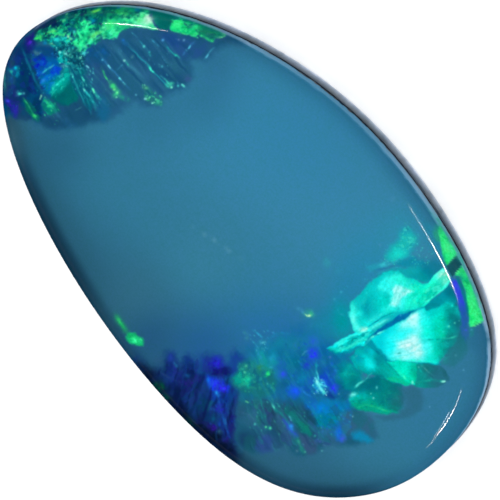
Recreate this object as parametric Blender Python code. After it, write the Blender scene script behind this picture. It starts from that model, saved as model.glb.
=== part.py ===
"""Opal doublet: a domed slice of precious opal, joined with black epoxy to a flat base of dark stone.

The stone is a free oval, narrow at -X and broad at +X. It rests on its flat back in the plane Z = 0.
"""

import math

import bpy
from mathutils import Vector

MM = 0.001

# Control points of the smooth closed curve that the stone's edge follows, seen from above, in millimetres
EDGE_CONTROLS_MM = [
    (9.34, 4.06),
    (3.52, 5.84),
    (-2.05, 5.92),
    (-8.26, 3.45),
    (-10.81, -0.83),
    (-8.49, -3.69),
    (-1.90, -5.73),
    (5.73, -6.02),
    (9.16, -3.68),
    (10.37, -0.41),
]
STEPS_PER_CONTROL = 14

# Heights, from the back of the stone upwards
BACKING_THICKNESS = 0.90 * MM
FOOT_BEVEL = 0.20 * MM
CEMENT_THICKNESS = 0.16 * MM
OPAL_EDGE_HEIGHT = 0.55 * MM
DOME_RISE = 1.25 * MM
JOINT_GAP = 0.02 * MM

# The dome is rounder at the long sides and flatter along the middle
DOME_CENTRE = Vector((0.4 * MM, 0.0))
DOME_ROUNDNESS = 3.2
DOME_SIDE_RADIUS = 5.75 * MM
DOME_RINGS = 12
DOME_LAST_RING_ANGLE = math.radians(84)

# The epoxy stands back from the ground walls by an amount that wavers round the stone
CEMENT_SETBACK = 0.05 * MM
CEMENT_WAVER = 0.02 * MM
CEMENT_WAVES = 9


def clear_scene():
    for thing in list(bpy.data.objects):
        bpy.data.objects.remove(thing, do_unlink=True)


def smooth_closed_curve(controls, steps):
    """Points of the closed uniform cubic B-spline of these control points."""
    points = []
    count = len(controls)
    for index in range(count):
        before, start, end, after = (controls[(index + offset) % count] for offset in (-1, 0, 1, 2))
        for step in range(steps):
            t = step / steps
            points.append(
                (
                    before * (1 - t) ** 3
                    + start * (3 * t**3 - 6 * t**2 + 4)
                    + end * (-3 * t**3 + 3 * t**2 + 3 * t + 1)
                    + after * t**3
                )
                / 6
            )
    return points


def stone_edge():
    controls = [Vector(point) * MM for point in EDGE_CONTROLS_MM]
    return smooth_closed_curve(controls, STEPS_PER_CONTROL)


def moved_inwards(points, amounts):
    """Each point moved square to the curve, towards the stone's middle."""
    moved = []
    count = len(points)
    for index, point in enumerate(points):
        along = points[(index + 1) % count] - points[index - 1]
        inwards = Vector((-along.y, along.x)).normalized()
        moved.append(point + inwards * amounts[index])
    return moved


def at_height(points, height):
    return [Vector((point.x, point.y, height)) for point in points]


def solid_from_rings(name, rings, apex=None):
    """A closed solid through a stack of rings, from the bottom face up to a top face or an apex."""
    count = len(rings[0])
    vertices = [point for ring in rings for point in ring]
    faces = [tuple(reversed(range(count)))]
    for level in range(len(rings) - 1):
        low = level * count
        high = low + count
        for index in range(count):
            following = (index + 1) % count
            faces.append((low + index, low + following, high + following, high + index))
    last = (len(rings) - 1) * count
    if apex is None:
        faces.append(tuple(range(last, last + count)))
    else:
        vertices.append(apex)
        top = len(vertices) - 1
        faces.extend((last + index, last + (index + 1) % count, top) for index in range(count))
    mesh = bpy.data.meshes.new(name)
    mesh.from_pydata(vertices, [], faces)
    mesh.shade_smooth()
    mesh.set_sharp_from_angle(angle=math.radians(35))
    piece = bpy.data.objects.new(name, mesh)
    bpy.context.scene.collection.objects.link(piece)
    return piece


def dome_ring(edge, base_height, angle):
    """One level ring of the dome. The angle runs from 0 at the stone's edge to a right angle at the top."""
    ring = []
    for point in edge:
        reach = point - DOME_CENTRE
        roundness = DOME_ROUNDNESS * reach.length / DOME_SIDE_RADIUS
        share = math.cos(angle) ** (2 / roundness)
        ring.append(DOME_CENTRE + reach * share)
    return at_height(ring, base_height + DOME_RISE * math.sin(angle))


def stone_material(name, colour, roughness, coat=0.0):
    material = bpy.data.materials.new(name)
    material.use_nodes = True
    shader = material.node_tree.nodes["Principled BSDF"]
    shader.inputs["Base Color"].default_value = (*colour, 1.0)
    shader.inputs["Roughness"].default_value = roughness
    shader.inputs["Metallic"].default_value = 0.0
    shader.inputs["Coat Weight"].default_value = coat
    return material


def build_backing(edge):
    foot = moved_inwards(edge, [FOOT_BEVEL] * len(edge))
    rings = [
        at_height(foot, 0.0),
        at_height(edge, FOOT_BEVEL),
        at_height(edge, BACKING_THICKNESS),
    ]
    backing = solid_from_rings("backing", rings)
    backing.data.materials.append(stone_material("dark_potch", (0.055, 0.060, 0.075), 0.45))


def build_cement_layer(edge):
    bottom = BACKING_THICKNESS + JOINT_GAP
    turn = 2 * math.pi / len(edge)
    setbacks = []
    for index in range(len(edge)):
        waves = math.sin(CEMENT_WAVES * turn * index) + math.sin((2 * CEMENT_WAVES + 1) * turn * index)
        setbacks.append(CEMENT_SETBACK + CEMENT_WAVER * waves / 2)
    outline = moved_inwards(edge, setbacks)
    rings = [at_height(outline, bottom), at_height(outline, bottom + CEMENT_THICKNESS)]
    cement = solid_from_rings("cement_layer", rings)
    cement.data.materials.append(stone_material("black_epoxy", (0.006, 0.008, 0.016), 0.35))


def build_opal_cap(edge):
    underside = BACKING_THICKNESS + CEMENT_THICKNESS + 2 * JOINT_GAP
    shoulder = underside + OPAL_EDGE_HEIGHT
    rings = [at_height(edge, underside)]
    for level in range(DOME_RINGS):
        rings.append(dome_ring(edge, shoulder, DOME_LAST_RING_ANGLE * level / (DOME_RINGS - 1)))
    apex = Vector((DOME_CENTRE.x, DOME_CENTRE.y, shoulder + DOME_RISE))
    opal = solid_from_rings("opal_cap", rings, apex)
    opal.data.materials.append(stone_material("precious_opal", (0.027, 0.205, 0.350), 0.12, coat=1.0))


def main():
    clear_scene()
    edge = stone_edge()
    build_backing(edge)
    build_cement_layer(edge)
    build_opal_cap(edge)


main()
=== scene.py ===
import math

import bpy
import numpy as np
from mathutils import Matrix, Quaternion, Vector, geometry


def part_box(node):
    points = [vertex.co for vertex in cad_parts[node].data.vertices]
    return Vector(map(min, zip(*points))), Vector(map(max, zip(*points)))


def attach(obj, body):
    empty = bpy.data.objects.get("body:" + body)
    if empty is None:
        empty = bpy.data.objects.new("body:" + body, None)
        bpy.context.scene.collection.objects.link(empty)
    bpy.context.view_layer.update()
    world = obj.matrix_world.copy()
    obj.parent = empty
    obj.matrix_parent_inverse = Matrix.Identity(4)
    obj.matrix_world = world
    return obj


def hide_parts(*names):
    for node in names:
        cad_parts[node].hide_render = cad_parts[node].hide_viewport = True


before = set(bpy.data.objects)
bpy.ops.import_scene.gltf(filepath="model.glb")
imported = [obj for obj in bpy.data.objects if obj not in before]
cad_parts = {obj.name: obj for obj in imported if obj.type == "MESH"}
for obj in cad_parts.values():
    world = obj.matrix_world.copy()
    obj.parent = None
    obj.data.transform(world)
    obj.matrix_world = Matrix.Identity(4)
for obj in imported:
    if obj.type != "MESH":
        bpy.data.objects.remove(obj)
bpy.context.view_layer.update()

MM = 0.001

# The photograph's view of the stone: it is square, and the camera leans towards the stone's upper right rim
PHOTO_SIDE = 500
PHOTO_MIDDLE = PHOTO_SIDE / 2
PIXELS_PER_MM = 29.48
STONE_TURN = math.radians(-46.85)
CAMERA_LEAN = math.radians(17)
LEAN_TOWARDS = math.radians(38)
CAMERA_DISTANCE = 300 * MM
CAMERA_TARGET = Vector((0.47 * MM, -0.51 * MM, 0.0))
SENSOR_WIDTH = 36.0

# The stone's outline and dome, as in the solids
EDGE_CONTROLS_MM = [
    (9.34, 4.06),
    (3.52, 5.84),
    (-2.05, 5.92),
    (-8.26, 3.45),
    (-10.81, -0.83),
    (-8.49, -3.69),
    (-1.90, -5.73),
    (5.73, -6.02),
    (9.16, -3.68),
    (10.37, -0.41),
]
# The finer curve is drawn this share as large, which keeps it inside the solids' box
EDGE_SHARE = 0.9998
OPAL_EDGE_HEIGHT = 0.55 * MM
FOOT_BEVEL = 0.20 * MM
DOME_CENTRE = np.array((0.4 * MM, 0.0))
DOME_ROUNDNESS = 3.2
DOME_SIDE_RADIUS = 5.75 * MM

# The joint: how far the black epoxy stands back and hollows in
EPOXY_SETBACK = 0.03 * MM
EPOXY_HOLLOW = 0.02 * MM

# The wear of the arrises beside the joint: fine wear all along, and a few rarer chips
OPAL_CHIP = 0.05 * MM
BACKING_CHIP = 0.08 * MM
CHIP_HEIGHT = 0.09 * MM
FINE_WEAR_MM = 0.12
RARE_CHIP_MM = 0.5
FINE_WEAR_SHARE = 0.25
RARE_CHIP_RISE = (0.55, 0.85)
BACKING_CHIP_SEED = 81
OPAL_CHIP_SEED = 83
EPOXY_CHIP_SEED = 85

# How finely the stone is meshed: round its edge, up its walls, and over its top, where the fire needs the
# closer points
EDGE_POINTS = 820
FOOT_STEPS = 7
BACKING_WALL_STEPS = 12
OPAL_WALL_STEPS = 5
SHOULDER_ANGLES = np.radians(20) * np.sqrt(np.linspace(0.0, 1.0, 10))
FINE_SPACING = 1.02 / PIXELS_PER_MM * MM
WIDE_STEP = 4
# The finer points keep this share of their spacing clear of the ring round them
EDGE_CLEARANCE = 0.8
# The steps from one control point to the next, and the points of the outline that depths are measured from
CURVE_STEPS = 400
OUTLINE_POINTS = 120
# Edges sharper than this are shaded as edges
SHARP_ANGLE = math.radians(40)
# The share of the dome's rise from which its own normals are used, and the step over which they are read
NORMALS_FROM = 0.1
SLOPE_STEP = 0.01 * MM

# The studio
FLOOR_SIDE = 1.0
PANEL_DISTANCE = 0.4
WORLD_STRENGTH = 0.12
# The panel that lights the stone: azimuth, elevation, width and height in degrees, and radiance
OVERHEAD_PANEL = (50, 88, 110, 110, 2.2)
# The strips that the polish mirrors: azimuth, elevation, width and height in degrees, radiance and tilt
STRIPS = {
    "strip_upper_left": (147, 34.5, 19, 1.2, 160, 0),
    "strip_upper_left_core": (149, 34.8, 9, 2.2, 160, 0),
    "strip_right": (70, 35.4, 18.5, 1.6, 200, -12),
    "strip_right_core": (70, 35, 8, 3.0, 220, -12),
    "strip_lower_right": (-6.3, 39.3, 24.6, 0.9, 200, 25.7),
    "strip_lower_right_core": (-9.5, 38.3, 9, 1.5, 170, 26),
    "strip_lower_right_beside": (-10.9, 41.7, 11, 0.9, 130, 39),
}

# The speckle in each stone's colour: features in a metre, then how far it changes the light and the hue
OPAL_SPECKLE = [(2500.0, (0.97, 1.03), (0.497, 0.503)), (14000.0, (0.9, 1.1), (0.492, 0.508))]
POTCH_SPECKLE = [(700.0, (0.75, 1.25), (0.49, 0.51)), (6000.0, (0.85, 1.15), (0.49, 0.51))]
SPECKLE_DETAIL = 3.0
# The polish of each material, and the features in a metre of what varies it
OPAL_ROUGHNESS = (0.04, 0.06)
POTCH_ROUGHNESS = (0.3, 0.5)
EPOXY_ROUGHNESS = (0.3, 0.6)
CARD_ROUGHNESS = (0.85, 0.95)
POLISH_SCALE = 900.0
EPOXY_SCALE = 5000.0
CARD_SCALE = 300.0
POLISH_DETAIL = 4.0
NOISE_ROUGHNESS = 0.6
OPAL_IOR = 1.15
POTCH_IOR = 1.2
PLAIN_IOR = 1.45
# The scratches that grinding left in the backing
SCRATCH_SCALE = 2600.0
SCRATCH_WAVER = 6.0
SCRATCH_DETAIL = 4.0
SCRATCH_STRENGTH = 0.25
SCRATCH_DEPTH = 0.01 * MM
# The darker and the lighter shade of the plain materials, and where between 0 and 1 of their noise those lie
EPOXY_SHADES = ((0.002, 0.003, 0.006), (0.012, 0.014, 0.02))
CARD_SHADES = ((0.88, 0.88, 0.88), (0.9, 0.9, 0.9))
SHADE_STOPS = (0.35, 0.65)

# Painting the opal. Places are in the photograph's pixels, and colours are red, green and blue from 0 to 255

# The body colour to the left, in the middle and to the right, painted lighter to the right as light and
# shade, its colour at the two ends, and painted shade round the edge
BODY_SHADED_COLOURS = [(42, 96, 122), (50, 118, 148), (58, 131, 164)]
BODY_END_COLOUR = (47, 116, 150)
BODY_SIDE_SHADE = (40, 92, 116)
BODY_RIM_SHADE = (22, 56, 78)
BODY_SHOULDER_SHADE = (46, 112, 148)
# The directions of the stone's length and width in the photograph
LENGTHWAYS = np.array((0.685, 0.728))
CROSSWAYS = np.array((0.728, -0.685))
# Where one body colour gives way to the next: across the stone, above 0 to the upper right, and along it
LEFT_TO_MIDDLE = (-150, -50)
MIDDLE_TO_RIGHT = (-50, 80)
UPPER_RIGHT = (-60, 20)
LOWER_LEFT = (-20, -110)
TOWARDS_AN_END = (110, 220)
# The depths in from the edge between which the painted edge shade fades, and how strong it is
SIDE_DEPTHS = (8, 45)
RIM_DEPTHS = (4, 17)
SHOULDER_DEPTHS = (1, 18)
OUTER_DEPTHS = (-1, 2)
END_SHARE = 0.8
SIDE_SHARE = 0.8
SHOULDER_SHARE = 0.9

# What the studio adds to the stone's colour: its light against that on a white sheet, and its soft reflection
STUDIO_LIGHT = 1.55
STUDIO_GLOSS = 0.002
# The opal's wall from the joint up to the shoulder, and the backing's wall from the joint down to the foot:
# dark cement by the joint, then a painted reflection of the pale sheet, palest at the backing's foot
WALL_REFLECTION_COLOURS = [(94, 118, 138), (108, 134, 156), (112, 139, 163), (104, 138, 165), (84, 136, 168)]
BACKING_CEMENT_AND_REFLECTION = [
    (28, 42, 56),
    (54, 72, 88),
    (80, 97, 114),
    (104, 120, 139),
    (146, 161, 180),
    (200, 212, 226),
    (232, 240, 248),
]
BACK_COLOUR = (38, 40, 46)
# How brightly the studio lights the two walls, against a white sheet, and the palest that the backing gets
OPAL_WALL_LIGHT = 0.72
BACKING_WALL_LIGHT = 0.9
PALEST_BACKING = 0.95
# The shares of the opal's wall between which its painted reflection ends
WALL_TOP = (0.86, 1.06)
# The cement smeared up each wall: share of the height, feature sizes in pixels or millimetres, seed and rise
OPAL_SMEAR = (0.08, (9, 3), 71, (0.4, 0.8))
BACKING_SMEAR = (0.09, (0.3, 0.09), 73, (0.35, 0.8))
COARSE_SMEAR_SHARE = 0.6
# The polish rises from none at the first depth to full at the second
DULL_EDGE = (2, 9)
FULL_POLISH = 0.5
# Painted light: how much stronger the fire is painted by the rim, to make up for the light that the rim
# lacks, and the depths between which that fades
RIM_FIRE = 0.2
RIM_FIRE_DEPTHS = (4, 28)
# How far the painted reflection on the wall shows through the fire along the top, and the shares of its
# height where that fades
WALL_OVER_FIRE = 0.65
WALL_OVER_FIRE_SHARES = (0.4, 1.15)

# Where the play of colour lies, which takes the finer mesh
FIRE_AREAS = [
    [(0, 45), (60, 0), (165, 2), (242, 32), (232, 58), (205, 66), (196, 92), (165, 110), (60, 134),
     (0, 120)],
    [(128, 350), (165, 346), (240, 315), (300, 300), (350, 282), (382, 212), (432, 200), (470, 250),
     (494, 330), (472, 372), (452, 392), (428, 424), (380, 446), (335, 456), (290, 466), (225, 456),
     (140, 384)],
    [(106, 302), (136, 322), (152, 350), (132, 352), (106, 318)],
]

# Large odd numbers that mix the column, row and seed of a cell, and the mixture once more
MIX_COLUMN = 374761393
MIX_ROW = 668265263
MIX_SEED = 974634777
MIX_AGAIN = 1274126177
# Most of a noise lies between these values, so what follows it rises from the first to the second
NOISE_RISE = (0.3, 0.7)
# The ripple that bends all that is painted: sizes, the finer one's share, and its seeds sideways and down
RIPPLE_SIZES = (7, 3)
RIPPLE_FINE_SHARE = 0.5
RIPPLE_SEEDS = ((31, 33), (32, 34))
RIPPLE_REACH = 2
# The room left for the ripple round each kind of mark, and how far a soft edge and a spot's glow reach
PATCH_MARGIN = 8
STREAK_MARGIN = 4
SPOT_MARGIN = 3
TEXTURE_MARGIN = 6
SOFT_REACH = 1.5
SPOT_REACH = 2
# The grain of a patch's edge: its share of the edge's softness, its limit, and its sizes
EDGE_GRAIN = 0.3
MOST_EDGE_GRAIN = 1.2
EDGE_GRAIN_SIZES = (2.2, 4.5)
# How far the seeds of a patch's noises lie from the patch's own seed
EDGE_GRAIN_SEED = 20
MOTTLE_SEED = 5
STRIPE_SEED = 9
# How strong a patch's mottle is, and how far the ripple bends its stripes
MOTTLE_SHARE = 0.8
STRIPE_BEND = 1.5
# The beads of a streak, how far its softness widens it, and how far past its ends its fading reaches
BEAD_SIZE = 3.0
BEAD_SEED = 3
STREAK_SOFTENING = 0.1
PAST_THE_END = -0.1
# The grain in a spot, and the finish of a spark
SPOT_GRAIN_SIZE = 2.3
SPOT_GRAIN_SEED = 51
SPOT_GRAIN_RISE = (0.25, 0.8)
SPARK_FINISH = {"rough": 0.3, "broken": 0.2}
# Dust: how its dots differ in size, strength and direction
DUST_EDGE = (-2.0, 2.0)
DUST_CLUMP_RISE = (0.3, 0.6)
DUST_SIZES = (0.7, 1.4)
DUST_SHARES = (0.4, 1.0)
DUST_TURN = 12.0
# Cells: how their light differs, and how far they darken towards their borders
CELL_LIGHT = 0.3
CELL_LIGHT_SIZE = 4
CELL_BORDER = 0.15
CELL_BORDER_RISE = (0.5, 1.0)
# The noise at which a strand is at its full strength
FULL_STRAND = 0.8


# The fire, painted in the order of these tables. Patches are (outline, softness of the edge, colour, finish),
# textures (kind, outline, colour or palette, finish), streaks (path, width, softness, colour, finish), and
# spots and the crisper sparks (centre, radius, colour, finish). What a finish may say is in class Painting

# Soft hazes in the body colour, partly painted light and shade that lightens and deepens parts of the body:
# centre, radius, colour, share, and for a long one its stretch and angle
HAZES_AND_PAINTED_LIGHT = {
    "clear_above": ((290, 130), 80, (50, 128, 167), 0.8, 1.5, 20),
    "deep_above_left": ((203, 98), 32, (46, 115, 149), 0.8),
    "grey_lower_left": ((140, 300), 40, (50, 106, 131), 0.8),
    "grey_middle": ((208, 262), 42, (54, 124, 152), 0.8),
    "haze_by_the_right_fire": ((372, 270), 42, (38, 135, 171), 0.8),
    "haze_by_the_lobe": ((350, 292), 26, (34, 128, 169), 0.7),
    "haze_by_the_feather": ((334, 322), 17, (16, 140, 162), 0.85),
    "haze_by_the_dots": ((405, 232), 26, (44, 142, 173), 0.7),
    "haze_above_the_navy_fan": ((206, 352), 40, (34, 92, 145), 0.9, 1.3),
    "haze_above_the_middle": ((280, 330), 36, (34, 108, 163), 0.9, 1.4),
    "haze_in_the_middle": ((275, 280), 45, (48, 126, 162), 0.4),
    "haze_by_the_upper_fan": ((150, 110), 42, (45, 112, 145), 0.7),
    "haze_by_the_right_of_the_fan": ((215, 62), 26, (45, 110, 147), 0.8),
    "haze_by_the_left_rim": ((55, 148), 36, (38, 94, 124), 0.7),
    "haze_by_the_green_tip": ((150, 338), 24, (36, 88, 126), 0.8),
    "haze_below_the_fan": ((300, 458), 30, (45, 100, 130), 0.6, 1.8, -10),
    "left_rim_light": ((13, 138), 13, (48, 92, 113), 0.85, 1.8, 80),
    "haze_of_the_middle_right": ((322, 330), 16, (24, 130, 164), 0.8),
    "haze_by_the_crescent": ((343, 320), 10, (4, 152, 160), 0.9, 1.9, 82),
}

# The navy fan along the lower left rim
NAVY_PATCHES = {
    "fan": ([(136, 358), (150, 372), (162, 366), (167, 354), (173, 356), (180, 368), (186, 357), (196, 358),
        (206, 356), (216, 356), (226, 362), (236, 352), (246, 356), (248, 374), (242, 384), (240, 400),
        (240, 420), (240, 440), (236, 452), (222, 448), (210, 444), (190, 428), (172, 410), (152, 388)], 16,
        (17, 46, 110), {"other": (22, 58, 122), "size": 9, "seed": 61, "grain": 3,
        "glows": [(150, 372, 10, (15, 32, 70)), (166, 366, 8, (18, 50, 102)), (186, 362, 9, (14, 50, 112)),
        (200, 362, 9, (26, 70, 146)), (214, 362, 8, (28, 64, 158)), (232, 360, 8, (28, 70, 143)),
        (240, 366, 7, (24, 100, 146)), (204, 378, 8, (16, 60, 136)), (222, 372, 6, (19, 48, 124)),
        (232, 378, 7, (14, 84, 140)), (196, 400, 10, (10, 44, 84)), (182, 388, 10, (18, 34, 92)),
        (206, 412, 9, (12, 42, 84)), (214, 402, 6, (18, 68, 134)), (230, 396, 7, (17, 62, 132)),
        (236, 412, 8, (28, 74, 118)), (232, 424, 7, (15, 46, 108)), (228, 438, 8, (18, 50, 112)),
        (240, 440, 8, (22, 48, 94))]}),
    "rim_shade": ([(140, 364), (152, 374), (166, 388), (182, 402), (196, 414), (212, 426), (226, 438),
        (240, 448), (236, 462), (200, 440), (150, 392)], 16, (9, 22, 46), {"other": (14, 28, 64)}),
    "left_petal": ([(167, 372), (168, 355), (172, 353), (176, 360), (180, 372), (176, 384), (170, 382)], 9,
        (20, 40, 118), {"other": (26, 52, 140), "share": 0.6}),
    "second_petal": ([(182, 370), (186, 357), (190, 358), (194, 368), (192, 380), (184, 382)], 9,
        (18, 36, 112), {"share": 0.6}),
    "upper_blue": ([(205, 360), (212, 357), (222, 358), (228, 366), (220, 372), (210, 371)], 9,
        (28, 48, 160), {"share": 0.7}),
    "dark_cleft": ([(214, 369), (226, 366), (236, 370), (226, 376), (212, 374)], 4, (18, 30, 104), {}),
    "bright_blue": ([(208, 375), (214, 377), (222, 380), (229, 386), (228, 392), (220, 394), (211, 391),
        (207, 384)], 6, (26, 58, 220), {"mottle": 0.3, "size": 5}),
    "blue_column": ([(210, 392), (226, 392), (228, 404), (224, 414), (214, 412), (211, 402)], 5,
        (18, 60, 156), {"mottle": 0.5, "size": 6, "share": 0.85}),
    "teal_leaf": ([(186, 398), (190, 389), (195, 396), (193, 406), (188, 410)], 6, (24, 66, 122),
        {"share": 0.7}),
    "teal_leaf_beside": ([(196, 400), (200, 391), (205, 400), (205, 411), (199, 414)], 6, (14, 62, 100),
        {"share": 0.7}),
    "teal_leaf_right": ([(206, 402), (211, 397), (216, 404), (213, 411), (208, 412)], 6, (20, 84, 112),
        {"share": 0.7}),
    "lower_blue": ([(220, 412), (228, 408), (234, 420), (232, 436), (224, 440), (219, 426)], 5,
        (20, 52, 128), {"mottle": 0.5, "share": 0.7}),
    "dark_tail": ([(228, 414), (238, 416), (248, 426), (250, 434), (245, 448), (234, 444), (228, 430)], 4,
        (20, 38, 112), {"other": (30, 34, 112)}),
}

NAVY_TEXTURES = {
    "left_strands": ("strands", [(156, 370), (206, 360), (208, 420), (180, 410)], (28, 64, 128),
        {"angle": 108, "width": 3, "length": 18, "share": 0.45}),
    "left_dark_strands": ("strands", [(156, 370), (240, 356), (240, 446), (180, 410)], (9, 24, 66),
        {"angle": 104, "width": 3.4, "length": 20, "share": 0.55, "seed": 12}),
    "right_strands": ("strands", [(206, 376), (238, 376), (238, 446), (214, 440)], (26, 84, 150),
        {"angle": 78, "width": 2.4, "length": 14, "share": 0.3, "seed": 13}),
    "violet_cells": ("mosaic", [(164, 358), (240, 356), (238, 440), (190, 420)], [(36, 44, 136),
        (20, 68, 134), (26, 36, 110)], {"spacing": 5, "stretch": 2, "angle": 100, "share": 0.3, "keep": 0.5,
        "seed": 14}),
    "blue_dust": ("dust", [(204, 358), (236, 358), (238, 440), (212, 436)], [(26, 80, 200), (20, 60, 170),
        (30, 100, 190), (14, 40, 110)], {"count": 120, "radius": 0.8, "share": 0.45, "clump": 7,
        "seed": 133, "angle": 78, "stretch": 1.8}),
    "dark_dust": ("dust", [(158, 364), (206, 360), (212, 426), (178, 404)], [(24, 60, 130), (10, 28, 74),
        (30, 44, 130)], {"count": 150, "radius": 1.0, "share": 0.4, "clump": 8, "seed": 134, "angle": 108,
        "stretch": 2.2}),
}

NAVY_STREAKS = {
    "teal_by_the_petal": ([(173, 361), (178, 368)], 3, 2, (32, 104, 152), {"share": 0.7}),
    "violet_band": ([(181, 385), (192, 381), (204, 377)], 5, 4, (46, 34, 136), {"share": 0.8}),
    "pale_edge": ([(160, 372), (170, 378), (182, 383)], 2, 2, (36, 66, 120), {"share": 0.7}),
    "azure_edge": ([(208, 376), (209, 382), (212, 388)], 3.5, 2, (20, 112, 232), {}),
    "blue_thread": ([(217, 390), (219, 400), (221, 410), (224, 420), (227, 430), (230, 440)], 1.8, 2.5,
        (26, 92, 180), {"broken": 0.4, "share": 0.75}),
    "lower_thread": ([(225, 416), (226, 423), (227, 430)], 2, 2, (30, 90, 160), {}),
    "left_thread": ([(194, 386), (188, 394), (184, 404)], 3, 3, (30, 56, 140), {"share": 0.7}),
}

NAVY_SPOTS = {
    "violet_glow": ((218, 363), 5.5, (36, 46, 205), {}),
    "blue_glow": ((171, 357), 4, (32, 62, 156), {}),
    "teal_glow": ((200, 371), 3.5, (22, 84, 144), {"share": 0.8}),
    "teal_glow_left": ((187, 376), 3, (22, 82, 142), {"share": 0.8}),
    "hot_blue": ((215, 383), 4, (38, 60, 240), {}),
    "hot_blue_beside": ((223, 388), 3.5, (48, 52, 252), {}),
    "azure_dot": ((217.5, 393), 2.4, (32, 150, 240), {}),
    "low_violet": ((220, 409), 4.5, (40, 46, 180), {"share": 0.9}),
    "teal_low": ((214, 418), 4, (14, 84, 118), {"share": 0.8}),
    "purple_eye": ((212, 427), 3.2, (56, 22, 160), {"stretch": 1.3, "angle": 30}),
    "grey_teal": ((219, 431), 2.6, (44, 96, 122), {}),
    "violet_tip": ((226, 439), 3.5, (48, 34, 140), {"share": 0.5}),
    "green_by_the_rim": ((159, 387), 5, (8, 84, 56), {"stretch": 1.3, "angle": 20}),
    "green_low": ((166, 397), 3, (10, 66, 64), {"stretch": 1.6, "angle": 50}),
    "green_lower": ((190, 421), 4, (10, 48, 52), {"stretch": 1.8, "angle": 42}),
    "left_haze": ((158, 360), 6, (44, 84, 124), {"share": 0.5}),
}

# The dim fan at the bottom, with its curved petals
BOTTOM_PATCHES = {
    "fan": ([(240, 386), (262, 380), (300, 384), (330, 390), (346, 396), (368, 420), (376, 434), (372, 441),
        (356, 446), (340, 446), (330, 443), (320, 450), (308, 454), (302, 457), (292, 453), (286, 446),
        (274, 444), (270, 452), (256, 454), (246, 450), (238, 452), (232, 440), (236, 420)], 8,
        (28, 90, 118), {"other": (32, 96, 124), "size": 14, "seed": 71, "grain": 1.5,
        "glows": [(244, 400, 9, (27, 104, 126)), (240, 412, 8, (35, 86, 118)), (252, 420, 7, (43, 98, 130)),
        (262, 424, 8, (35, 90, 124)), (270, 398, 7, (28, 112, 138)), (260, 396, 7, (24, 108, 126)),
        (286, 390, 9, (24, 98, 150)), (300, 396, 9, (20, 108, 162)), (310, 400, 7, (18, 110, 162)),
        (322, 408, 9, (8, 126, 188)), (338, 410, 8, (10, 118, 166)), (324, 424, 8, (14, 122, 148)),
        (344, 424, 9, (28, 102, 136)), (330, 438, 9, (42, 98, 138)), (308, 444, 9, (38, 84, 112)),
        (286, 438, 9, (36, 86, 114)), (268, 444, 8, (38, 75, 124)), (246, 440, 8, (24, 56, 98)),
        (256, 440, 6, (28, 74, 106)), (364, 428, 9, (44, 98, 128))]}),
    "pale_scallop": ([(262, 434), (276, 438), (288, 448), (284, 456), (262, 454)], 6, (44, 98, 132),
        {"share": 0.75}),
    "violet_scallop": ([(256, 440), (266, 436), (273, 441), (273, 451), (262, 454), (254, 450)], 6,
        (42, 78, 140), {"share": 0.75}),
    "green_dark_scallop": ([(243, 438), (252, 434), (256, 442), (254, 452), (244, 450)], 6, (24, 88, 104),
        {"share": 0.75}),
    "left_column": ([(254, 384), (266, 380), (270, 396), (266, 414), (260, 426), (254, 416), (252, 400)], 4,
        (28, 92, 108), {"other": (34, 110, 122), "size": 8}),
    "dark_wedge": ([(262, 398), (268, 398), (276, 412), (284, 424), (280, 436), (268, 424), (262, 410)], 6,
        (34, 70, 98), {"share": 0.92}),
    "dark_wedge_right": ([(276, 400), (286, 402), (298, 416), (306, 430), (300, 434), (288, 420),
        (280, 412)], 6, (28, 88, 112), {"other": (38, 80, 112), "share": 0.92}),
    "violet_petal": ([(276, 414), (284, 414), (290, 424), (296, 436), (290, 440), (280, 428)], 6,
        (46, 82, 124), {"share": 0.92}),
    "green_band": ([(286, 404), (294, 410), (304, 420), (314, 432), (310, 438), (302, 432), (292, 420),
        (284, 410)], 4, (18, 112, 112), {"other": (28, 98, 112), "size": 7}),
    "dark_middle": ([(286, 396), (298, 398), (308, 412), (318, 424), (312, 428), (300, 418), (290, 408)], 6,
        (24, 76, 100), {"share": 0.92}),
    "right_violet": ([(300, 434), (310, 438), (318, 444), (316, 452), (308, 455), (300, 446)], 6,
        (50, 84, 122), {"share": 0.92}),
    "bottom_right_shade": ([(318, 428), (332, 424), (344, 432), (346, 442), (334, 446), (322, 440)], 6,
        (42, 94, 130), {"share": 0.75}),
    "blue_tongue": ([(284, 419), (289, 421), (293, 428), (298, 436), (293, 437), (287, 430)], 6,
        (44, 84, 196), {"share": 0.92}),
    "azure_by_the_sparkles": ([(302, 392), (312, 390), (318, 400), (314, 410), (306, 408)], 5,
        (20, 104, 186), {"mottle": 0.3}),
    "azure_field": ([(322, 400), (332, 396), (342, 399), (350, 402), (353, 409), (346, 413), (338, 413),
        (330, 416), (320, 418), (315, 412)], 10, (10, 120, 178), {"mottle": 0.25, "size": 6,
        "share": 0.85}),
    "teal_field": ([(316, 418), (328, 414), (340, 414), (342, 424), (330, 428), (318, 426)], 7,
        (6, 122, 146), {"mottle": 0.3}),
    "blue_corner": ([(334, 426), (341, 424), (344, 434), (342, 441), (336, 440)], 6, (24, 98, 200), {}),
    "shadow_petal": ([(340, 412), (352, 410), (363, 411), (372, 417), (376, 427), (379, 437), (371, 438),
        (357, 436), (344, 434), (339, 424)], 8, (47, 97, 130), {"other": (34, 102, 124), "size": 12,
        "share": 0.85}),
    "azure_tip": ([(352, 433), (360, 430), (368, 435), (373, 441), (362, 443), (353, 439)], 6,
        (18, 132, 176), {}),
}

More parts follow.
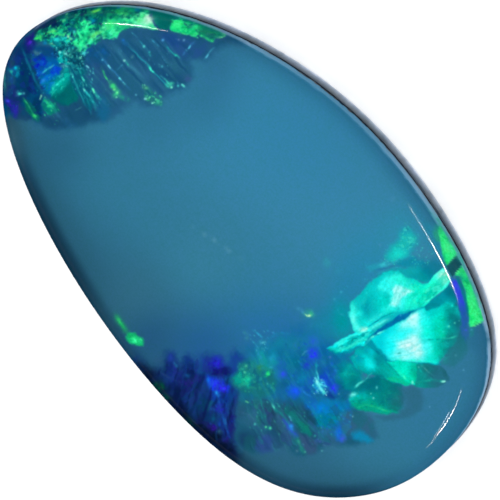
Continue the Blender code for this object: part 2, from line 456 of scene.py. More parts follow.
BOTTOM_TEXTURES = {
    "left_strands": ("strands", [(244, 390), (300, 390), (312, 452), (250, 450)], (44, 138, 144),
        {"angle": 62, "width": 2.2, "length": 22, "share": 0.24, "seed": 15}),
    "dark_strands": ("strands", [(244, 390), (330, 396), (330, 446), (250, 450)], (22, 62, 98),
        {"angle": 58, "width": 3, "length": 26, "share": 0.36, "seed": 16}),
    "right_strands": ("strands", [(290, 394), (350, 398), (346, 440), (310, 440)], (26, 136, 166),
        {"angle": 50, "width": 2.6, "length": 12, "share": 0.2, "seed": 17}),
    "violet_cells": ("mosaic", [(250, 400), (340, 404), (336, 446), (262, 450)], [(48, 78, 140),
        (30, 120, 132), (34, 80, 116)], {"spacing": 6, "stretch": 2.4, "angle": 56, "share": 0.35,
        "keep": 0.5, "seed": 18}),
    "azure_cells": ("mosaic", [(306, 392), (352, 398), (350, 440), (330, 436), (312, 412)], [(10, 110, 220),
        (20, 150, 190), (30, 90, 200), (10, 120, 150)], {"spacing": 4.5, "stretch": 1.4, "angle": 50,
        "share": 0.2, "keep": 0.5, "seed": 19}),
    "fan_dust": ("dust", [(240, 388), (300, 388), (340, 420), (330, 446), (256, 452)], [(40, 170, 150),
        (30, 140, 160), (70, 210, 180), (20, 70, 100)], {"count": 150, "radius": 0.6, "share": 0.5,
        "clump": 9, "seed": 131, "angle": 58, "stretch": 1.6}),
    "azure_dust": ("dust", [(300, 386), (352, 396), (352, 438), (330, 440), (306, 410)], [(20, 140, 240),
        (30, 90, 220), (40, 180, 220), (10, 100, 150)], {"count": 170, "radius": 0.9, "share": 0.4,
        "clump": 6, "seed": 132, "angle": 50, "stretch": 1.3}),
}

BOTTOM_STREAKS = {
    "column_line": ([(258, 386), (260, 398), (264, 412), (268, 424)], 1.8, 2, (30, 124, 128),
        {"broken": 0.5}),
    "column_line_beside": ([(267, 382), (270, 394), (274, 404)], 1.5, 2, (40, 130, 130), {"broken": 0.4}),
    "middle_line": ([(270, 400), (275, 409), (284, 416), (290, 425), (294, 432)], 2.25, 2, (28, 128, 134),
        {"broken": 0.4}),
    "dash_left": ([(257.5, 388), (258.5, 396)], 1.5, 1.2, (80, 200, 190), {}),
    "dash_middle": ([(272, 403), (275, 409)], 1.8, 1.2, (76, 205, 190), {}),
    "dash_green": ([(245, 401), (249, 403)], 1.8, 1.5, (88, 204, 150), {}),
    "green_worm": ([(264, 427), (268, 428.5), (272, 428)], 3.6, 1.5, (36, 170, 150), {}),
    "pale_line": ([(238, 411), (247, 414), (256, 421)], 1.8, 2, (62, 112, 144), {"share": 0.7}),
    "long_line": ([(288, 404), (298, 414), (308, 424), (318, 434)], 1.2, 1.6, (34, 128, 132), {"share": 0.6,
        "broken": 0.4}),
    "line_over_blue": ([(289, 415), (292, 422)], 1.5, 1.2, (70, 180, 200), {}),
    "low_green": ([(296, 436), (299, 443), (302, 450), (305, 454)], 4, 2.5, (30, 128, 122),
        {"broken": 0.3}),
    "low_green_light": ([(298, 439), (300, 446)], 1.5, 1.5, (62, 176, 144), {"share": 0.8}),
    "edge_of_shadow": ([(318, 444), (326, 446), (336, 447)], 1.05, 1.4, (60, 116, 150), {"share": 0.6}),
    "edge_of_fan": ([(232, 446), (246, 452), (262, 455)], 1.5, 2, (44, 90, 120), {"share": 0.5}),
    "blue_edge": ([(336, 427), (338, 433), (338, 438)], 1.8, 1.6, (30, 112, 215), {}),
}

BOTTOM_SPOTS = {
    "green_eye": ((270.5, 428.5), 1.2, (76, 215, 160), {"rough": 0.3, "broken": 0.2}),
    "azure_eye": ((291.5, 427), 3, (42, 146, 242), {}),
    "green_glow": ((305, 426), 4.5, (16, 134, 112), {"stretch": 1.6, "angle": 45, "share": 0.6}),
    "teal_dot": ((315, 436), 1.2, (46, 146, 156), {"rough": 0.3, "broken": 0.2}),
    "dim_blue": ((324, 433), 4, (40, 108, 164), {"share": 0.8}),
    "violet_blue": ((319, 441), 2.6, (58, 98, 170), {"share": 0.8}),
    "azure_heart": ((323, 407), 5, (10, 128, 222), {"stretch": 1.4, "angle": 130}),
    "violet_corner": ((343, 438), 3.4, (62, 92, 224), {}),
    "low_violet": ((268, 440), 5, (44, 74, 146), {"share": 0.7}),
}
BOTTOM_SPARKS = {
    "grey_light": ((269, 396), 1.1, (56, 150, 156), {}),
    "teal_eye": ((255, 424), 1.2, (70, 190, 186), {}),
    "green_eye_left": ((266, 427), 1.08, (80, 214, 160), {}),
    "tip_dot": ((305, 452), 1.0, (66, 165, 150), {}),
    "tip_dot_right": ((322, 451), 1.01, (70, 150, 164), {}),
    "dot_in_shadow": ((352.5, 416.5), 0.94, (84, 152, 172), {}),
    "pale_tip": ((297, 451), 1.44, (80, 130, 150), {"share": 0.6}),
}

# The blue and green middle
MIDDLE_PATCHES = {
    "deep_blue": ([(232, 358), (252, 346), (276, 338), (300, 326), (318, 332), (334, 340), (352, 350),
        (362, 364), (358, 384), (346, 398), (328, 400), (306, 400), (284, 400), (262, 396), (244, 396),
        (236, 380)], 18, (21, 114, 156), {"other": (24, 106, 160), "size": 18, "seed": 81, "grain": 3,
        "glows": [(262, 342, 7, (30, 132, 161)), (280, 344, 10, (20, 127, 158)),
        (262, 356, 7, (22, 148, 159)), (272, 356, 8, (16, 130, 166)), (296, 346, 9, (28, 121, 160)),
        (314, 342, 7, (31, 114, 180)), (314, 356, 6, (24, 86, 187)), (292, 362, 8, (10, 116, 144)),
        (304, 370, 7, (14, 98, 150)), (326, 372, 6, (17, 84, 170)), (340, 352, 8, (4, 126, 160)),
        (344, 370, 7, (4, 152, 160)), (340, 384, 6, (6, 120, 138)), (284, 384, 7, (20, 96, 140)),
        (300, 384, 7, (14, 102, 162)), (270, 384, 6, (18, 112, 124)), (246, 358, 7, (30, 108, 156)),
        (326, 352, 7, (12, 106, 164)), (332, 364, 6, (16, 100, 164)), (300, 360, 8, (10, 104, 136)),
        (290, 372, 7, (12, 98, 140)), (264, 362, 5, (20, 136, 132))], "share": 0.95}),
    "dark_blue": ([(230, 356), (238, 352), (245, 358), (242, 366), (237, 373), (230, 372)], 7,
        (24, 62, 142), {"share": 0.8}),
    "green_petals": ([(240, 362), (250, 359), (264, 362), (272, 368), (276, 380), (272, 394), (258, 398),
        (246, 394), (234, 387), (230, 378), (240, 372)], 7, (22, 120, 128), {"other": (24, 110, 120),
        "size": 9}),
    "teal_triangle": ([(256, 358), (262, 353), (270, 358), (279, 362), (272, 368), (262, 370), (256, 366)],
        6, (20, 148, 158), {"share": 0.8}),
    "green_pool": ([(233, 378), (240, 373), (249, 374), (253, 381), (248, 388), (239, 385)], 6,
        (8, 160, 144), {"other": (14, 140, 134)}),
    "saturated_band": ([(318, 376), (326, 374), (334, 380), (339, 388), (336, 394), (326, 386)], 7,
        (22, 72, 212), {}),
    "saturated_left": ([(306, 380), (314, 378), (316, 386), (312, 392), (304, 392)], 7, (22, 80, 196),
        {"share": 0.8}),
    "saturated_low": ([(287, 388), (294, 386), (303, 387), (306, 392), (298, 397), (289, 395)], 7,
        (22, 92, 214), {"share": 0.8}),
    "dark_hollow": ([(324, 388), (332, 392), (339, 397), (334, 400), (326, 396)], 4, (18, 66, 140), {}),
    "teal_right": ([(334, 366), (344, 362), (352, 366), (360, 372), (352, 380), (340, 376)], 7,
        (6, 134, 152), {"other": (10, 148, 144), "size": 7, "share": 0.8}),
    "dark_right": ([(338, 380), (350, 382), (352, 392), (342, 400), (336, 396)], 7, (14, 98, 136),
        {"share": 0.7}),
    "sparkles": ([(315, 380), (318, 379), (321, 383), (324, 388), (326, 394), (321, 393), (317, 390),
        (314, 386)], 2, (26, 190, 222), {"mottle": 0.8, "size": 4, "rough": 1.6, "share": 0.8}),
    "bright_green": ([(263.5, 377), (266, 371), (268.5, 371), (270, 375), (269, 378), (265, 379)], 1.6,
        (22, 186, 122), {"mottle": 0.4}),
}

MIDDLE_TEXTURES = {
    "blue_cells": ("mosaic", [(288, 336), (340, 344), (346, 396), (290, 398)], [(26, 78, 196),
        (20, 110, 180), (12, 120, 150), (22, 92, 160)], {"spacing": 5, "stretch": 1.5, "angle": 50,
        "share": 0.25, "keep": 0.5, "seed": 20, "soft": 14}),
    "green_cells": ("mosaic", [(238, 364), (272, 366), (274, 392), (238, 386)], [(30, 150, 134),
        (20, 104, 118), (36, 134, 120), (44, 176, 144)], {"spacing": 3.4, "share": 0.45, "keep": 0.6,
        "seed": 21, "soft": 6}),
    "dark_strands": ("strands", [(240, 350), (340, 344), (350, 396), (246, 396)], (14, 88, 138),
        {"angle": 66, "width": 3.4, "length": 18, "share": 0.35, "seed": 22, "soft": 14}),
    "light_strands": ("strands", [(250, 356), (336, 350), (340, 396), (256, 396)], (32, 140, 172),
        {"angle": 58, "width": 2.4, "length": 12, "share": 0.3, "seed": 23, "soft": 14}),
    "sparkle_cells": ("mosaic", [(311, 376), (322, 378), (330, 390), (326, 396), (314, 392)],
        [(60, 210, 225), (120, 245, 240), (24, 130, 200)], {"spacing": 2.6, "share": 0.4, "keep": 0.45,
        "seed": 24, "soft": 4}),
    "green_dust": ("dust", [(236, 364), (264, 358), (276, 372), (270, 392), (244, 392)], [(50, 210, 150),
        (30, 170, 140), (90, 240, 170), (14, 90, 110), (20, 110, 100)], {"count": 150, "radius": 0.7,
        "share": 0.55, "clump": 6, "seed": 121, "angle": 60, "stretch": 1.3}),
    "blue_dust": ("dust", [(272, 340), (338, 346), (346, 394), (286, 398)], [(30, 110, 230), (20, 80, 190),
        (30, 150, 190), (14, 90, 140)], {"count": 190, "radius": 0.9, "share": 0.5, "clump": 8, "seed": 122,
        "angle": 55, "stretch": 1.4}),
    "sparkle_dust": ("dust", [(311, 374), (318, 374), (330, 392), (326, 398), (312, 392)], [(90, 235, 235),
        (160, 250, 245), (50, 190, 225)], {"count": 22, "radius": 0.5, "share": 0.8, "clump": 4,
        "seed": 123, "angle": 50, "stretch": 1.4}),
    "high_dust": ("dust", [(246, 326), (274, 330), (272, 352), (250, 350)], [(50, 170, 210),
        (80, 200, 220)], {"count": 30, "radius": 0.5, "share": 0.7, "clump": 8, "seed": 124, "angle": 55,
        "stretch": 2}),
}

MIDDLE_STREAKS = {
    "strand": ([(252, 329), (257, 333), (260, 336), (263, 339)], 1.65, 1.6, (40, 150, 186), {}),
    "strand_hook": ([(263, 339), (260, 341), (261, 346)], 1.2, 1.4, (50, 160, 196), {"share": 0.8}),
    "strand_low": ([(252, 341), (256, 345), (259, 349)], 1.5, 1.5, (48, 156, 190), {}),
    "strand_tail": ([(258, 348), (258, 354), (262, 360)], 2.25, 2.5, (40, 142, 190), {"share": 0.7}),
    "faint_leaf": ([(243, 329), (246, 334), (247, 341)], 3.5, 3, (52, 138, 158), {"share": 0.7}),
    "teal_edge": ([(268, 338), (280, 333), (292, 334)], 2.25, 3, (30, 130, 176), {"share": 0.7}),
    "teal_edge_left": ([(266, 352), (267, 344), (270, 337)], 2.25, 3, (28, 124, 172), {"share": 0.6}),
    "sparkle_stem": ([(317, 360), (316, 369), (315, 379)], 1.8, 1.8, (24, 150, 174), {"broken": 0.4}),
    "sparkle_arm": ([(320, 382), (324, 383), (327, 386)], 1.65, 1.2, (64, 210, 244), {}),
    "pale_hair": ([(301, 356), (305, 352), (312, 350)], 1.2, 1.6, (54, 144, 184), {"share": 0.8}),
    "pale_smear": ([(296, 306), (301, 311), (306, 315)], 3.4, 2.5, (64, 152, 192), {"share": 0.55}),
    "grass_arc": ([(304.5, 313.5), (307, 316), (310, 316), (313, 313.5)], 1.35, 1.4, (176, 250, 190),
        {"ends": (0.25, 0.2), "rough": 0.2}),
    "dot_line": ([(337, 309), (339, 313), (344, 315)], 1.8, 2, (34, 158, 180), {"share": 0.8}),
    "cleft_green": ([(258, 371), (258, 380), (256, 390)], 1.5, 2, (20, 96, 112), {"share": 0.6}),
    "cleft_light": ([(262, 379), (266, 388), (270, 396)], 1.35, 1.6, (36, 132, 128), {"share": 0.8}),
    "blue_thread": ([(302, 389), (306, 394), (312, 397)], 1.5, 2, (36, 128, 220), {"share": 0.8}),
    "sparkle_line": ([(315, 378.5), (318, 383), (320.5, 388), (324.5, 393)], 3.0, 1.3, (104, 236, 244),
        {"rough": 0.8, "broken": 0.4, "ends": (0.1, 0.1)}),
    "sparkle_top": ([(316, 370), (317.5, 375), (319, 381)], 1.5, 1.3, (70, 214, 226), {"broken": 0.3}),
    "sparkle_side": ([(318, 384), (322, 384.5), (327, 387)], 1.8, 1.2, (84, 226, 244), {"broken": 0.3}),
}

MIDDLE_SPOTS = {
    "saturated_dot": ((313, 354), 5, (38, 70, 244), {}),
    "saturated_dot_left": ((306, 366), 4, (30, 62, 200), {}),
    "blue_up": ((312, 341), 4, (36, 98, 206), {"share": 0.8}),
    "violet_low": ((335, 389), 3.6, (48, 66, 252), {}),
    "blue_middle": ((283, 374), 4.4, (42, 82, 232), {}),
    "blue_near": ((281, 364), 5, (32, 96, 190), {"share": 0.6}),
    "blue_heart": ((295, 391), 4, (28, 88, 250), {}),
    "teal_ring": ((285, 381), 3, (20, 104, 140), {"share": 0.7}),
    "teal_haze": ((304, 378), 5, (14, 128, 178), {"share": 0.8}),
    "grass_glow": ((309, 313.5), 3.6, (52, 182, 140), {"stretch": 1.3}),
    "blue_dash": ((272, 357.5), 3, (34, 160, 202), {"share": 0.9}),
    "small_dash": ((271, 367.5), 1.3, (40, 158, 184), {"stretch": 1.5, "rough": 0.3, "broken": 0.2}),
    "pool_heart": ((247, 379), 4, (34, 208, 158), {"share": 0.9}),
    "dim_green": ((260, 368), 4.2, (44, 142, 98), {"share": 0.8}),
    "green_right": ((345, 373), 3.4, (28, 170, 150), {"share": 0.8}),
    "haze_dot": ((327, 263), 3.4, (48, 158, 170), {"share": 0.7}),
    "haze_dot_low": ((338.5, 272.5), 1.15, (50, 184, 200), {"rough": 0.3, "broken": 0.2}),
    "haze_dot_up": ((340, 268), 2.2, (44, 158, 180), {"share": 0.8}),
}
MIDDLE_SPARKS = {
    "grass_spark": ((309, 315.5), 1.15, (210, 255, 200), {"stretch": 1.4}),
    "cyan_dash": ((263, 342.7), 1.15, (84, 196, 216), {"stretch": 1.6, "angle": -15, "share": 0.8}),
    "pool_spark": ((245, 372.5), 1.1, (80, 205, 170), {}),
    "pool_leaf": ((246, 366), 1.58, (60, 176, 150), {"stretch": 1.3, "angle": -50}),
    "green_spark": ((267.5, 374), 1.3, (50, 240, 130), {}),
    "white_spark": ((317, 381.5), 1.2, (150, 250, 240), {}),
    "white_spark_low": ((319.5, 386), 1.3, (90, 235, 230), {}),
    "white_spark_tail": ((324, 391.5), 1.1, (90, 235, 215), {}),
    "violet_speck": ((330, 357), 1.15, (64, 120, 170), {}),
    "speck_low": ((339, 394), 0.94, (70, 130, 160), {}),
    "haze_dot_right": ((350, 269.5), 1.01, (62, 168, 190), {"share": 0.8}),
    "haze_dot_far": ((341, 292), 1.3, (48, 158, 188), {}),
    "haze_dot_left": ((334.5, 299), 1.3, (52, 160, 186), {"share": 0.8}),
}

# The bright cyan and green fire on the right
RIGHT_PATCHES = {
    "dots_field": ([(388, 262), (385, 256), (391, 247), (399, 240), (399, 232), (405, 228), (412, 230),
        (418, 238), (416, 246), (411, 252), (412, 257), (402, 261), (394, 264)], 9, (28, 160, 178),
        {"other": (24, 176, 180), "size": 7, "glows": [(398, 254, 6, (26, 214, 202), 1.4, -20),
        (402, 243, 6, (26, 180, 176)), (412, 240, 5, (38, 186, 182))]}),
    "dots_arm": ([(366, 268), (376, 264), (388, 261), (392, 265), (380, 268), (370, 271)], 4,
        (36, 150, 176), {}),
    "dark_arc": ([(394, 266), (400, 260), (412, 257), (424, 260), (430, 266), (418, 266), (404, 268)], 6,
        (20, 138, 165), {}),
    "teal_arc": ([(378, 276), (388, 270), (402, 268), (420, 266), (434, 270), (436, 278), (426, 284),
        (412, 280), (400, 274), (388, 274)], 6, (17, 164, 172), {"other": (12, 156, 168), "size": 9,
        "glows": [(428, 270, 8, (11, 138, 156)), (424, 276, 6, (6, 148, 158))]}),
    "dark_by_strip": ([(424, 262), (436, 258), (444, 266), (440, 272), (430, 278), (422, 272)], 10,
        (10, 122, 148), {"share": 0.7}),
    "under_the_lobes": ([(330, 351), (346, 338), (362, 330), (374, 319), (388, 310), (402, 305), (420, 300),
        (432, 302), (428, 312), (412, 322), (396, 330), (384, 337), (378, 345), (388, 357), (402, 360),
        (424, 361), (440, 363), (436, 367), (418, 366), (402, 366), (388, 365), (374, 354), (364, 347),
        (348, 354), (336, 354)], 4, (5, 152, 168), {"share": 0.95,
        "glows": [(396, 314, 7, (12, 188, 194), 2.2, -28), (376, 326, 5, (30, 214, 206), 1.6, -40),
        (372, 345, 4, (5, 150, 168))]}),
    "upper_lobe": ([(350, 303), (354, 299), (360, 293), (366, 287), (373, 280), (382, 274), (391, 271),
        (399, 271), (405, 276), (413, 279), (422, 283), (432, 284), (436, 292), (428, 302), (424, 306),
        (416, 310), (406, 311), (396, 313), (387, 317), (378, 322), (371, 331), (362, 336), (355, 334),
        (350.5, 323), (349, 312)], 2.6, (10, 200, 194), {"other": (14, 208, 198), "size": 10, "mottle": 0.1,
        "seed": 91, "grain": 1.0, "rough": 0.8, "glows": [(367, 307, 9, (5, 156, 172), 1.7, 85),
        (375, 296, 7, (8, 188, 188), 1.5, 100), (383, 303, 6, (3, 208, 196), 1.5, 95),
        (357, 326, 4, (72, 254, 240), 1.4, 45), (364, 322, 5, (14, 218, 208)),
        (386, 284, 6, (34, 242, 236), 1.7, -35), (391, 277, 5, (18, 198, 198), 2.0, -8),
        (405, 277, 4, (17, 209, 188), 1.6, 20), (416, 290, 7, (12, 236, 204), 1.4, 10),
        (408, 304, 7, (30, 250, 220), 1.6, -15), (419, 300, 6, (28, 251, 214), 1.3, -30),
        (425, 291, 6, (10, 232, 196)), (388, 309, 4, (31, 248, 229), 1.6, -20),
        (374, 316, 5, (14, 200, 200)), (376, 284, 6, (10, 194, 196), 1.5, -35),
        (362, 296, 5, (10, 186, 186), 1.4, -40), (384, 300, 4, (6, 214, 196)),
        (353, 316, 3.6, (88, 255, 244), 2.6, 85), (352, 308.5, 3, (46, 244, 228), 1.8, 78),
        (358.5, 313, 3.5, (28, 240, 228)), (368, 324, 4, (20, 234, 228)),
        (376, 321, 3, (30, 232, 226), 1.5, -30)]}),
    "lobe_core": ([(378, 286), (381, 281), (387, 277), (394, 274.5), (401, 275), (407, 279), (411, 284),
        (415, 290), (411, 296), (405, 300), (402, 307), (396, 309), (389, 308), (389, 301), (390, 296),
        (386, 291), (380, 290)], 5, (56, 250, 240), {"other": (44, 248, 232), "size": 6, "grain": 1.0,
        "rough": 0.9, "glows": [(399, 279, 5, (38, 250, 224), 1.6, 10), (384, 284, 4, (34, 246, 236)),
        (408, 286, 4, (40, 242, 214)), (388, 291, 4, (50, 250, 242))]}),
    "lobe_white": ([(392, 290), (395, 286), (400, 285), (406, 288), (414, 291), (407, 294), (402, 298),
        (400, 304), (395, 307), (390, 305), (391, 299), (394, 295)], 4, (158, 254, 248),
        {"other": (190, 255, 250), "size": 5, "grain": 0.8, "rough": 0.8, "share": 0.92}),
    "shade_by_the_lobe": ([(450, 304), (460, 308), (468, 326), (469, 342), (464, 356), (454, 366),
        (442, 364), (446, 344), (450, 326)], 6, (24, 110, 122), {"other": (38, 116, 134),
        "from_to": [(456, 322), (456, 358)]}),
    "lower_lobe": ([(371, 339), (378, 333), (388, 328.5), (398, 322.5), (408, 316.5), (418, 310.5),
        (426, 307), (438, 303), (450, 300), (457, 304), (461, 316), (460, 330), (456, 341), (450, 349),
        (443, 357), (438, 363.5), (432, 363.5), (419, 362), (405, 361), (396, 361), (388, 359), (382, 351),
        (375, 345)], 3, (10, 228, 222), {"other": (12, 234, 226), "size": 12, "mottle": 0.08, "seed": 95,
        "grain": 0.8, "rough": 0.7, "glows": [(382, 346, 8, (5, 206, 218), 1.6, 60),
        (388, 333, 6, (4, 192, 208), 1.4, -30), (393, 336, 6, (15, 240, 241), 1.3, -20),
        (398, 326, 6, (20, 236, 236), 1.6, -32), (415, 325, 7, (205, 255, 253), 1.5, 80),
        (416, 334, 5, (120, 253, 251), 1.6, 85), (409, 331, 4.5, (36, 250, 248), 1.4, 0),
        (402, 331, 4, (44, 250, 249)), (413, 340, 5.5, (190, 255, 253)),
        (400, 345, 6, (180, 255, 253), 1.3, -10), (408, 345, 8, (230, 255, 255), 1.3, 10),
        (416, 350, 7.5, (222, 255, 254), 1.3, 60), (405, 356, 6, (150, 252, 250), 1.6, 0),
        (424, 320, 5, (36, 252, 246), 1.7, 75), (427, 334, 6, (14, 250, 224), 2.2, 85),
        (430, 350, 6, (36, 250, 228), 1.6, 85), (392, 347, 5, (16, 250, 250), 1.4, 80),
        (437, 330, 6, (3, 222, 186), 2.4, 88), (437, 352, 5, (6, 214, 178), 1.6, 85),
        (441, 311, 6, (2, 232, 206), 1.5, -20), (448, 308, 5, (5, 220, 204), 1.4, -15),
        (434, 311, 5, (0, 204, 198), 1.4, -30), (457, 304, 4, (14, 110, 130)),
        (444, 322, 5, (2, 224, 180), 1.6, 85), (443, 346, 5, (5, 160, 140), 1.5, 85),
        (451, 316, 7, (8, 134, 134), 1.9, 78), (449, 333, 7, (6, 150, 134), 1.6, 86),
        (451, 347, 7, (14, 118, 124), 1.6, 96), (458, 324, 7, (14, 112, 124), 1.6, 80),
        (460, 342, 8, (36, 114, 136), 1.8, 95), (452, 358, 7, (38, 113, 135), 1.5, 140),
        (448, 326, 2, (30, 200, 190)), (396, 353, 5, (130, 252, 250), 1.4, -10),
        (430, 359, 4, (14, 234, 206)), (442, 333, 5, (2, 216, 168), 1.4, 85), (441, 358, 4, (10, 150, 140)),
        (450, 340, 6, (16, 134, 134), 1.5, 90), (413, 319, 5, (180, 254, 252), 1.5, -40),
        (405, 325, 4.5, (136, 254, 252), 1.4, -25), (401, 336, 5, (40, 251, 250), 1.6, -20),
        (384, 352, 4, (12, 218, 226)), (420, 349, 5, (190, 254, 252), 1.5, 70),
        (426, 346, 4, (70, 253, 252), 1.6, 85), (419, 330, 4, (110, 254, 252)),
        (390, 349, 4, (20, 252, 252), 1.8, 85)]}),
    "dark_wedge": ([(449, 284), (455, 290), (461, 303), (456, 302), (446, 303), (436, 308), (427, 310),
        (425, 306), (434, 298), (442, 292)], 3, (1, 134, 151), {"other": (3, 150, 164), "size": 7,
        "grain": 0.6, "glows": [(452, 292, 6, (2, 118, 138), 1.8, 60),
        (446, 303, 4, (1, 156, 164), 1.6, -20)]}),
    "strip": ([(443, 268), (447, 272), (451, 281), (447, 287), (440, 292), (432, 299), (425, 306),
        (418, 308), (416, 298), (422, 289), (429, 282), (434, 275)], 1.6, (14, 232, 202),
        {"other": (20, 244, 208), "size": 5, "mottle": 0.15, "from_to": [(420, 300), (445, 273)],
        "stripes": 0.22, "stripe_width": 3, "grain": 0.3,
        "glows": [(442, 276, 5.5, (176, 252, 228), 1.5, -45), (444, 282, 4, (126, 250, 222), 1.4, -45),
        (432, 283, 5, (32, 247, 208), 1.6, -40), (424, 293, 6, (8, 226, 190), 1.4, -40),
        (438, 288, 4, (24, 234, 200), 1.6, -40), (432, 294, 4, (3, 204, 182), 1.6, -40),
        (448, 276, 3, (132, 218, 200), 1.6, 60)], "rough": 0.25}),
    "slit": ([(372, 335), (376, 331.5), (382, 327.5), (388, 323.5), (394, 318.5), (400, 315), (406, 312.8),
        (413, 311.5), (408, 316), (401, 320.5), (393, 325.5), (385, 330), (378, 334)], 1.8, (2, 118, 170),
        {"other": (0, 104, 160), "size": 6, "grain": 0.6}),
    "feather": ([(328, 348), (336, 342), (344, 338), (352, 334), (360, 331), (368, 329), (373, 333),
        (367, 339), (365, 345), (358, 347), (350, 350), (343, 353), (337, 352), (331, 350)], 2.5,
        (8, 208, 206), {"other": (14, 226, 222), "mottle": 0.25, "size": 5, "rough": 1.4,
        "from_to": [(330, 350), (370, 332)], "stripes": 0.45, "stripe_width": 2.6, "grain": 0.5}),
    "feather_heart": ([(336, 343), (343, 339), (349, 339), (346, 344), (338, 346)], 2, (24, 250, 240), {}),
    "second_petal": ([(366, 345), (374, 349), (382, 355), (390, 365), (400, 375), (408, 381), (413, 385),
        (402, 385), (390, 382), (378, 376), (368, 374), (360, 371), (354, 366), (351, 360), (356, 351)], 3,
        (3, 160, 158), {"other": (4, 166, 160), "size": 8, "mottle": 0.1, "grain": 0.8,
        "glows": [(366, 361, 6, (8, 232, 230), 1.5, 50), (372, 365, 4.5, (16, 240, 236), 1.4, 60),
        (360, 360, 4, (2, 186, 194)), (380, 361, 5, (4, 142, 156), 1.5, 60), (354, 366, 6, (6, 172, 174)),
        (358, 358, 4, (1, 158, 178)), (384, 368, 6, (0, 164, 160)), (396, 374, 6, (6, 188, 168), 1.6, 40),
        (404, 380, 5, (4, 206, 162), 1.6, 30), (366, 350, 4, (1, 162, 178)), (372, 352, 4, (3, 190, 202)),
        (376, 379, 6, (3, 120, 130), 1.8, 20), (390, 381, 4, (8, 156, 142), 1.6, 15)]}),
    "green_triangle": ([(387, 361), (400, 361), (418, 362), (421, 366), (418, 376), (415, 386), (408, 382),
        (400, 376), (393, 368)], 1.6, (3, 226, 196), {"other": (4, 222, 190), "size": 7, "grain": 0.4,
        "mottle": 0.12, "glows": [(416, 367, 5, (0, 182, 152), 1.5, 80),
        (415, 376, 5, (4, 176, 146), 1.5, 80), (398, 369, 5, (3, 214, 188), 1.4, 40),
        (408, 379, 5, (4, 212, 164), 1.6, 20), (404, 373, 5, (6, 236, 196), 1.6, 40)]}),
    "low_green": ([(386, 377), (394, 376), (402, 379), (411, 385), (402, 384.5), (392, 381)], 2.5,
        (12, 190, 150), {}),
    "dark_tip": ([(417, 363), (428, 364), (440, 365), (447, 371), (449, 380), (440, 386), (426, 388),
        (414, 387), (417, 377)], 2.5, (34, 105, 124), {"other": (14, 146, 140), "from_to": [(438, 372),
        (419, 374)], "mottle": 0.2, "glows": [(436, 376, 7, (34, 106, 126)), (428, 368, 6, (24, 118, 123)),
        (442, 380, 5, (38, 108, 130))]}),
    "between_petals": ([(350, 392), (358, 384), (366, 378), (378, 376), (390, 381), (402, 386), (402, 391),
        (384, 386), (366, 388), (354, 394)], 4, (4, 110, 124), {"other": (6, 118, 126)}),
    "third_petal": ([(349, 399), (355, 392), (362, 389), (372, 382), (384, 380), (396, 384), (403, 390),
        (405, 399), (402, 408), (397, 414), (384, 413), (370, 411), (358, 409), (352, 406)], 5,
        (8, 128, 128), {"other": (6, 132, 128), "size": 9, "mottle": 0.1, "grain": 0.8,
        "glows": [(352, 397, 5, (28, 206, 200), 1.3, -30), (358, 396, 5, (8, 204, 199), 1.4, -20),
        (364, 396, 5, (2, 174, 168)), (371, 397, 5, (4, 156, 148)), (356, 403, 5, (1, 172, 156), 1.5, 0),
        (366, 402, 5, (1, 170, 150), 1.5, 10), (374, 408, 5, (5, 164, 131), 1.8, 12),
        (382, 410, 4, (8, 166, 136), 1.8, 8), (394, 410, 4, (13, 130, 118), 1.5, 0),
        (398, 398, 9, (28, 108, 122)), (404, 400, 8, (40, 102, 126)), (372, 386, 7, (4, 116, 129), 1.6, 0),
        (362, 386, 4, (0, 146, 152)), (396, 388, 6, (14, 112, 120)), (396, 405, 5, (22, 112, 118))]}),
    "petal_low_green": ([(352, 404), (362, 401), (372, 402), (382, 408), (392, 411), (400, 413.5),
        (385, 414), (371, 412), (359, 409.5)], 4, (10, 164, 136), {"other": (8, 158, 130), "size": 6,
        "grain": 0.8}),
    "shadow_above_tip": ([(398, 388), (410, 386), (420, 390), (424, 398), (421, 409), (412, 416),
        (400, 420), (388, 421), (376, 417), (384, 415), (398, 415), (404, 408), (406, 398)], 6,
        (44, 104, 130), {"share": 0.85}),
    "left_teal": ([(338, 372), (350, 366), (360, 372), (362, 382), (354, 392), (344, 388)], 6,
        (4, 146, 150), {"other": (4, 136, 142), "size": 6, "glows": [(350, 366, 5, (6, 172, 172)),
        (352, 378, 6, (1, 130, 133)), (346, 374, 4, (10, 172, 170))]}),
}

